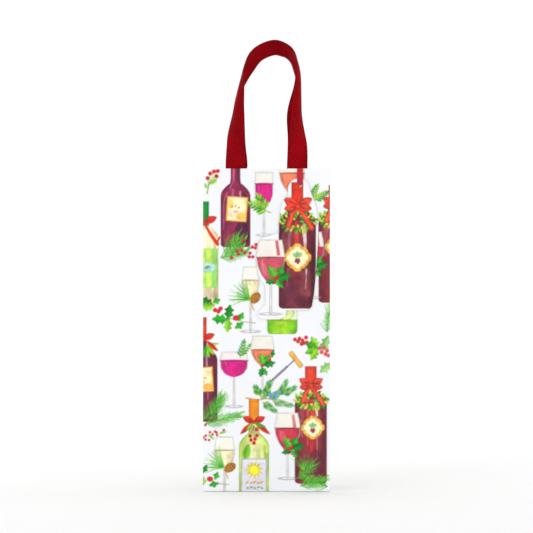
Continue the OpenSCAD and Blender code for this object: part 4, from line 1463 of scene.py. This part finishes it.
class GIFTBAG_OT_panels(bpy.types.Operator):
    """Front, back, gussets and the folded foot, as one printed sheet that bends at its creases"""

    bl_idname = "giftbag.panels"
    bl_label = "Paper panels"

    def execute(self, context):
        r = context.scene.gift_bag_paper.corner_radius / MM
        front_end = 2 * HALF_W
        right_end = front_end + 2 * HALF_D
        back_end = right_end + 2 * HALF_W
        step = BACK_CREASE - 1.0
        up = spread((-r, r, 8), (r, HEIGHT - RIM_CELLS, 471), (HEIGHT - RIM_CELLS, HEIGHT - RIM_FOLD, 1))
        high = spread((BACK_CREASE, HEIGHT - RIM_CELLS, 395), (HEIGHT - RIM_CELLS, HEIGHT - RIM_FOLD, 1))

        u = spread((-r, r, 8), (r, front_end - r, 176), (front_end - r, front_end + r, 8))
        uu, vv = np.meshgrid(u, up)
        vv[-1] = fold_line(u, FRONT_EDGE)
        obj = sheet_piece("front_paper", uu, vv, None, ("front_panel",), stride=8)
        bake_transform(obj)

        u = spread((right_end + r, back_end - r, 156))
        uu, vv = np.meshgrid(u, spread((step, HEIGHT - RIM_CELLS, 347),
                                       (HEIGHT - RIM_CELLS, HEIGHT - RIM_FOLD, 1)))
        vv[-1] = fold_line(u, BACK_EDGE)
        obj = sheet_piece("back_paper", uu, vv, None, ("back_panel",))
        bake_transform(obj)

        uu, vv = np.meshgrid(u, spread((-r, r, 8), (r, step, 56)))
        obj = sheet_piece("back_strip_paper", uu, vv, None, ("back_base_strip",))
        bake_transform(obj)

        bend = 1.0
        for word, sign, start in (("right", 1, front_end), ("left", -1, back_end)):
            middle = start + HALF_D
            rear_u = spread((middle + bend, middle + HALF_D - r, 56),
                            (middle + HALF_D - r, middle + HALF_D + r, 8))
            fore_u = spread((start + r, middle - bend, 56), (middle - bend, middle + bend, 4))
            if sign < 0:
                rear_u, fore_u = (2 * middle - g[::-1] for g in (rear_u, fore_u))
            uu, vv = np.meshgrid(rear_u, high)
            vv[-1] = fold_line(rear_u, GUSSET_EDGES[f"{word}_rear"])
            obj = sheet_piece(f"gusset_{word}_rear_paper", uu, vv, None, (f"gusset_{word}_rear",))
            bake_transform(obj)

            foot = np.minimum(np.minimum(fore_u - start, start + 2 * HALF_D - fore_u) + FOOT, BACK_CREASE)
            lines = spread((0, 1 - 0.8 / HEIGHT, 431), (1 - 0.8 / HEIGHT, 1, 1))
            vv = warp(lines, foot, fold_line(fore_u, GUSSET_EDGES[f"{word}_front"]))
            obj = sheet_piece(f"gusset_{word}_front_paper", fore_u[None, :] + 0 * vv, vv, None,
                              (f"gusset_{word}_front",))
            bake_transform(obj)

            u = spread((start + r, start + 2 * HALF_D - r, 112))
            edge = np.minimum(u - start, start + 2 * HALF_D - u) + FOOT
            low = np.broadcast_to(spread((-r, r, 8))[:, None], (9, len(u)))
            tall = warp(spread((0, 1, 56)), np.full_like(u, r), edge)[1:]
            vv = np.concatenate((low, tall))
            obj = sheet_piece(f"triangle_{word}_paper", u[None, :] + 0 * vv, vv, None, (f"triangle_{word}",))
            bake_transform(obj)

            v = spread((r + FOOT, BACK_CREASE, 56))
            reach = np.maximum(v - FOOT, r + 0.1)
            near = warp(spread((0, 1, 48)), -reach, np.full_like(v, -r)).T
            arc = np.broadcast_to(spread((-r, r, 8))[None, 1:], (len(v), 8))
            uu = np.concatenate((near, arc), 1)
            rear_corner = right_end if sign > 0 else back_end
            uu = rear_corner + (uu if sign > 0 else -uu[:, ::-1])
            obj = sheet_piece(f"corner_{word}_paper", uu, v[:, None] + 0 * uu, None, (f"corner_{word}",))
            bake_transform(obj)

            sheet_piece(f"foot_corner_{word}_paper", rear_corner + spread((-r, r, 8)),
                        spread((-r, r, 8), (r, r + FOOT, 4)), "base", ())
        return {"FINISHED"}


class GIFTBAG_OT_edges(bpy.types.Operator):
    """The turned-in top edge, in six lengths"""

    bl_idname = "giftbag.edges"
    bl_label = "Turned-in edge"

    def execute(self, context):
        turned_edge("front_edge_paper", FRONT_EDGE, "front_wall", "front_hem")
        turned_edge("back_edge_paper", BACK_EDGE, "back_wall", "back_hem")
        for word, zone in GUSSET_EDGES.items():
            turned_edge(f"{word}_edge_paper", zone, f"gusset_{word}_panel", f"hem_{word}")
        return {"FINISHED"}


class GIFTBAG_OT_foot(bpy.types.Operator):
    """The printed flaps under the foot; the front one slips over the back one"""

    bl_idname = "giftbag.foot"
    bl_label = "Foot flaps"

    def execute(self, context):
        paper = context.scene.gift_bag_paper
        r = paper.corner_radius / MM
        for word, start, node in (("front", 0, "bottom_front_flap"),
                                  ("back", 2 * (HALF_W + HALF_D), "bottom_back_flap")):
            low, high = corners(node)
            reach = HALF_D + (high[1] if word == "front" else -low[1])
            u, v = np.meshgrid(start + spread((r, 2 * HALF_W - r, 156)), spread((-reach, -r, 72)))
            point, n = wall(u, v, r)
            if word == "front":
                step = -(HALF_D + float(corners("bottom_back_flap")[0][1]))
                point[..., 2] += paper.thickness / MM * rise((step - v) / 2 + 0.8)
            obj = shell(f"foot_{word}_paper", point, point - n * 0.9 * paper.thickness / MM, 4,
                        ink_at(printed_area(), u, v))
            finish_piece(obj, "base", gloss_print(), (node,))
        return {"FINISHED"}


class GIFTBAG_OT_cards(bpy.types.Operator):
    """Finishes for the parts that keep their plain shape: side flaps, seam, card strips and board"""

    bl_idname = "giftbag.cards"
    bl_label = "Cards and inner flaps"

    def execute(self, context):
        finishes = {"grey_card": pulp_card(), "printed_paper": uncoated_paper()}
        for node in ("bottom_left_flap", "bottom_right_flap", "side_seam_flap", "front_card", "back_card",
                     "bottom_board"):
            kind = "grey_card" if node.endswith(("card", "board")) else "printed_paper"
            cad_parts[node].data.materials[0] = finishes[kind]
        return {"FINISHED"}


class GIFTBAG_OT_handles(bpy.types.Operator):
    """The two webbing handles, each in one length from inside the turned-in edge"""

    bl_idname = "giftbag.handles"
    bl_label = "Webbing handles"

    def execute(self, context):
        handle(-1, 1.0)
        handle(1, 1.045)
        return {"FINISHED"}


class GIFTBAG_OT_ribbon(bpy.types.Operator):
    """The satin ribbon that carries the tag"""

    bl_idname = "giftbag.ribbon"
    bl_label = "Satin ribbon"

    def execute(self, context):
        ribbon()
        return {"FINISHED"}


class GIFTBAG_OT_tag(bpy.types.Operator):
    """The printed die-cut tag"""

    bl_idname = "giftbag.tag"
    bl_label = "Card tag"

    def execute(self, context):
        gift_tag()
        return {"FINISHED"}


class GIFTBAG_OT_studio(bpy.types.Operator):
    """Floor and backdrop in one sweep, soft lights and the level camera"""

    bl_idname = "giftbag.studio"
    bl_label = "Studio"

    def execute(self, context):
        scene = context.scene
        look = scene.gift_bag_studio
        reach, floor_end, radius, wall_start, top = 3500, 1400, 1000, 2971, 5600
        lines = spread((-3200, floor_end, 20), (floor_end, wall_start, 16), (wall_start, top, 8))
        x, s = np.meshgrid(np.linspace(-reach, reach, 15), lines)
        turn = np.clip((s - floor_end) / radius, 0, math.pi / 2)
        y = np.minimum(s, floor_end) + radius * np.sin(turn)
        z = radius * (1 - np.cos(turn)) + np.maximum(s - wall_start, 0) - FLOOR_GAP
        grid = np.arange(x.size).reshape(x.shape)
        sweep = new_mesh("studio_sweep", np.stack((x, y, z), -1).reshape(-1, 3), [quads(grid)])
        sweep.data.materials.append(seamless_paper())
        for name, place, aim, size, power in (
            ("key", (-1.5, -2.1, 1.7), (0, 0, 0.25), 1.6, look.key),
            ("fill", (1.9, -1.7, 0.9), (0, 0, 0.2), 1.5, look.fill),
            ("backdrop_light", (0, 0.9, 2.4), (0, 2.4, 0.5), 2.4, look.key * 1.2),
        ):
            lamp = bpy.data.lights.new(name, "AREA")
            lamp.shape, lamp.size, lamp.energy = "SQUARE", size, power
            light = bpy.data.objects.new(name, lamp)
            light.location = place
            light.rotation_euler = (Vector(aim) - Vector(place)).to_track_quat("-Z", "Y").to_euler()
            scene.collection.objects.link(light)
        world = bpy.data.worlds.new("room")
        world.use_nodes = True
        world.node_tree.nodes["Background"].inputs["Color"].default_value = (1, 1, 1, 1)
        world.node_tree.nodes["Background"].inputs["Strength"].default_value = look.sky
        scene.world = world
        scene.view_settings.view_transform = "Standard"
        lens = bpy.data.cameras.new("level_camera")
        lens.lens, lens.sensor_width = look.lens, 36.0
        camera = bpy.data.objects.new("level_camera", lens)
        camera.location = (0, -HALF_D * MM - look.distance, look.aim)
        camera.rotation_euler = (math.pi / 2, 0, 0)
        scene.collection.objects.link(camera)
        scene.camera = camera
        return {"FINISHED"}


class GIFTBAG_PT_sidebar(bpy.types.Panel):
    """Lists the pieces and what may be changed."""

    bl_idname = "GIFTBAG_PT_sidebar"
    bl_label = "Gift bag"
    bl_space_type = "VIEW_3D"
    bl_region_type = "UI"
    bl_category = "Gift bag"

    def draw(self, context):
        for group in (context.scene.gift_bag_paper, context.scene.gift_bag_webbing,
                      context.scene.gift_bag_studio):
            box = self.layout.box()
            for key in group.__annotations__:
                box.prop(group, key)
        for operator in PIECES:
            self.layout.operator(operator.bl_idname)


GROUPS = {"gift_bag_paper": GiftBagPaper, "gift_bag_webbing": GiftBagWebbing,
          "gift_bag_studio": GiftBagStudio}
PIECES = (GIFTBAG_OT_panels, GIFTBAG_OT_edges, GIFTBAG_OT_foot, GIFTBAG_OT_cards, GIFTBAG_OT_handles,
          GIFTBAG_OT_ribbon, GIFTBAG_OT_tag, GIFTBAG_OT_studio)


def register():
    """Registers every class and gives the scene its settings."""
    for cls in (*GROUPS.values(), *PIECES, GIFTBAG_PT_sidebar):
        bpy.utils.register_class(cls)
    for key, group in GROUPS.items():
        setattr(bpy.types.Scene, key, PointerProperty(type=group))


def unregister():
    """Takes the settings and classes out again."""
    for key in GROUPS:
        delattr(bpy.types.Scene, key)
    for cls in reversed((*GROUPS.values(), *PIECES, GIFTBAG_PT_sidebar)):
        bpy.utils.unregister_class(cls)


def main():
    register()
    for operator in PIECES:
        getattr(bpy.ops.giftbag, operator.bl_idname.split(".")[1])()
    bpy.context.view_layer.update()


if __name__ == "__main__":
    main()
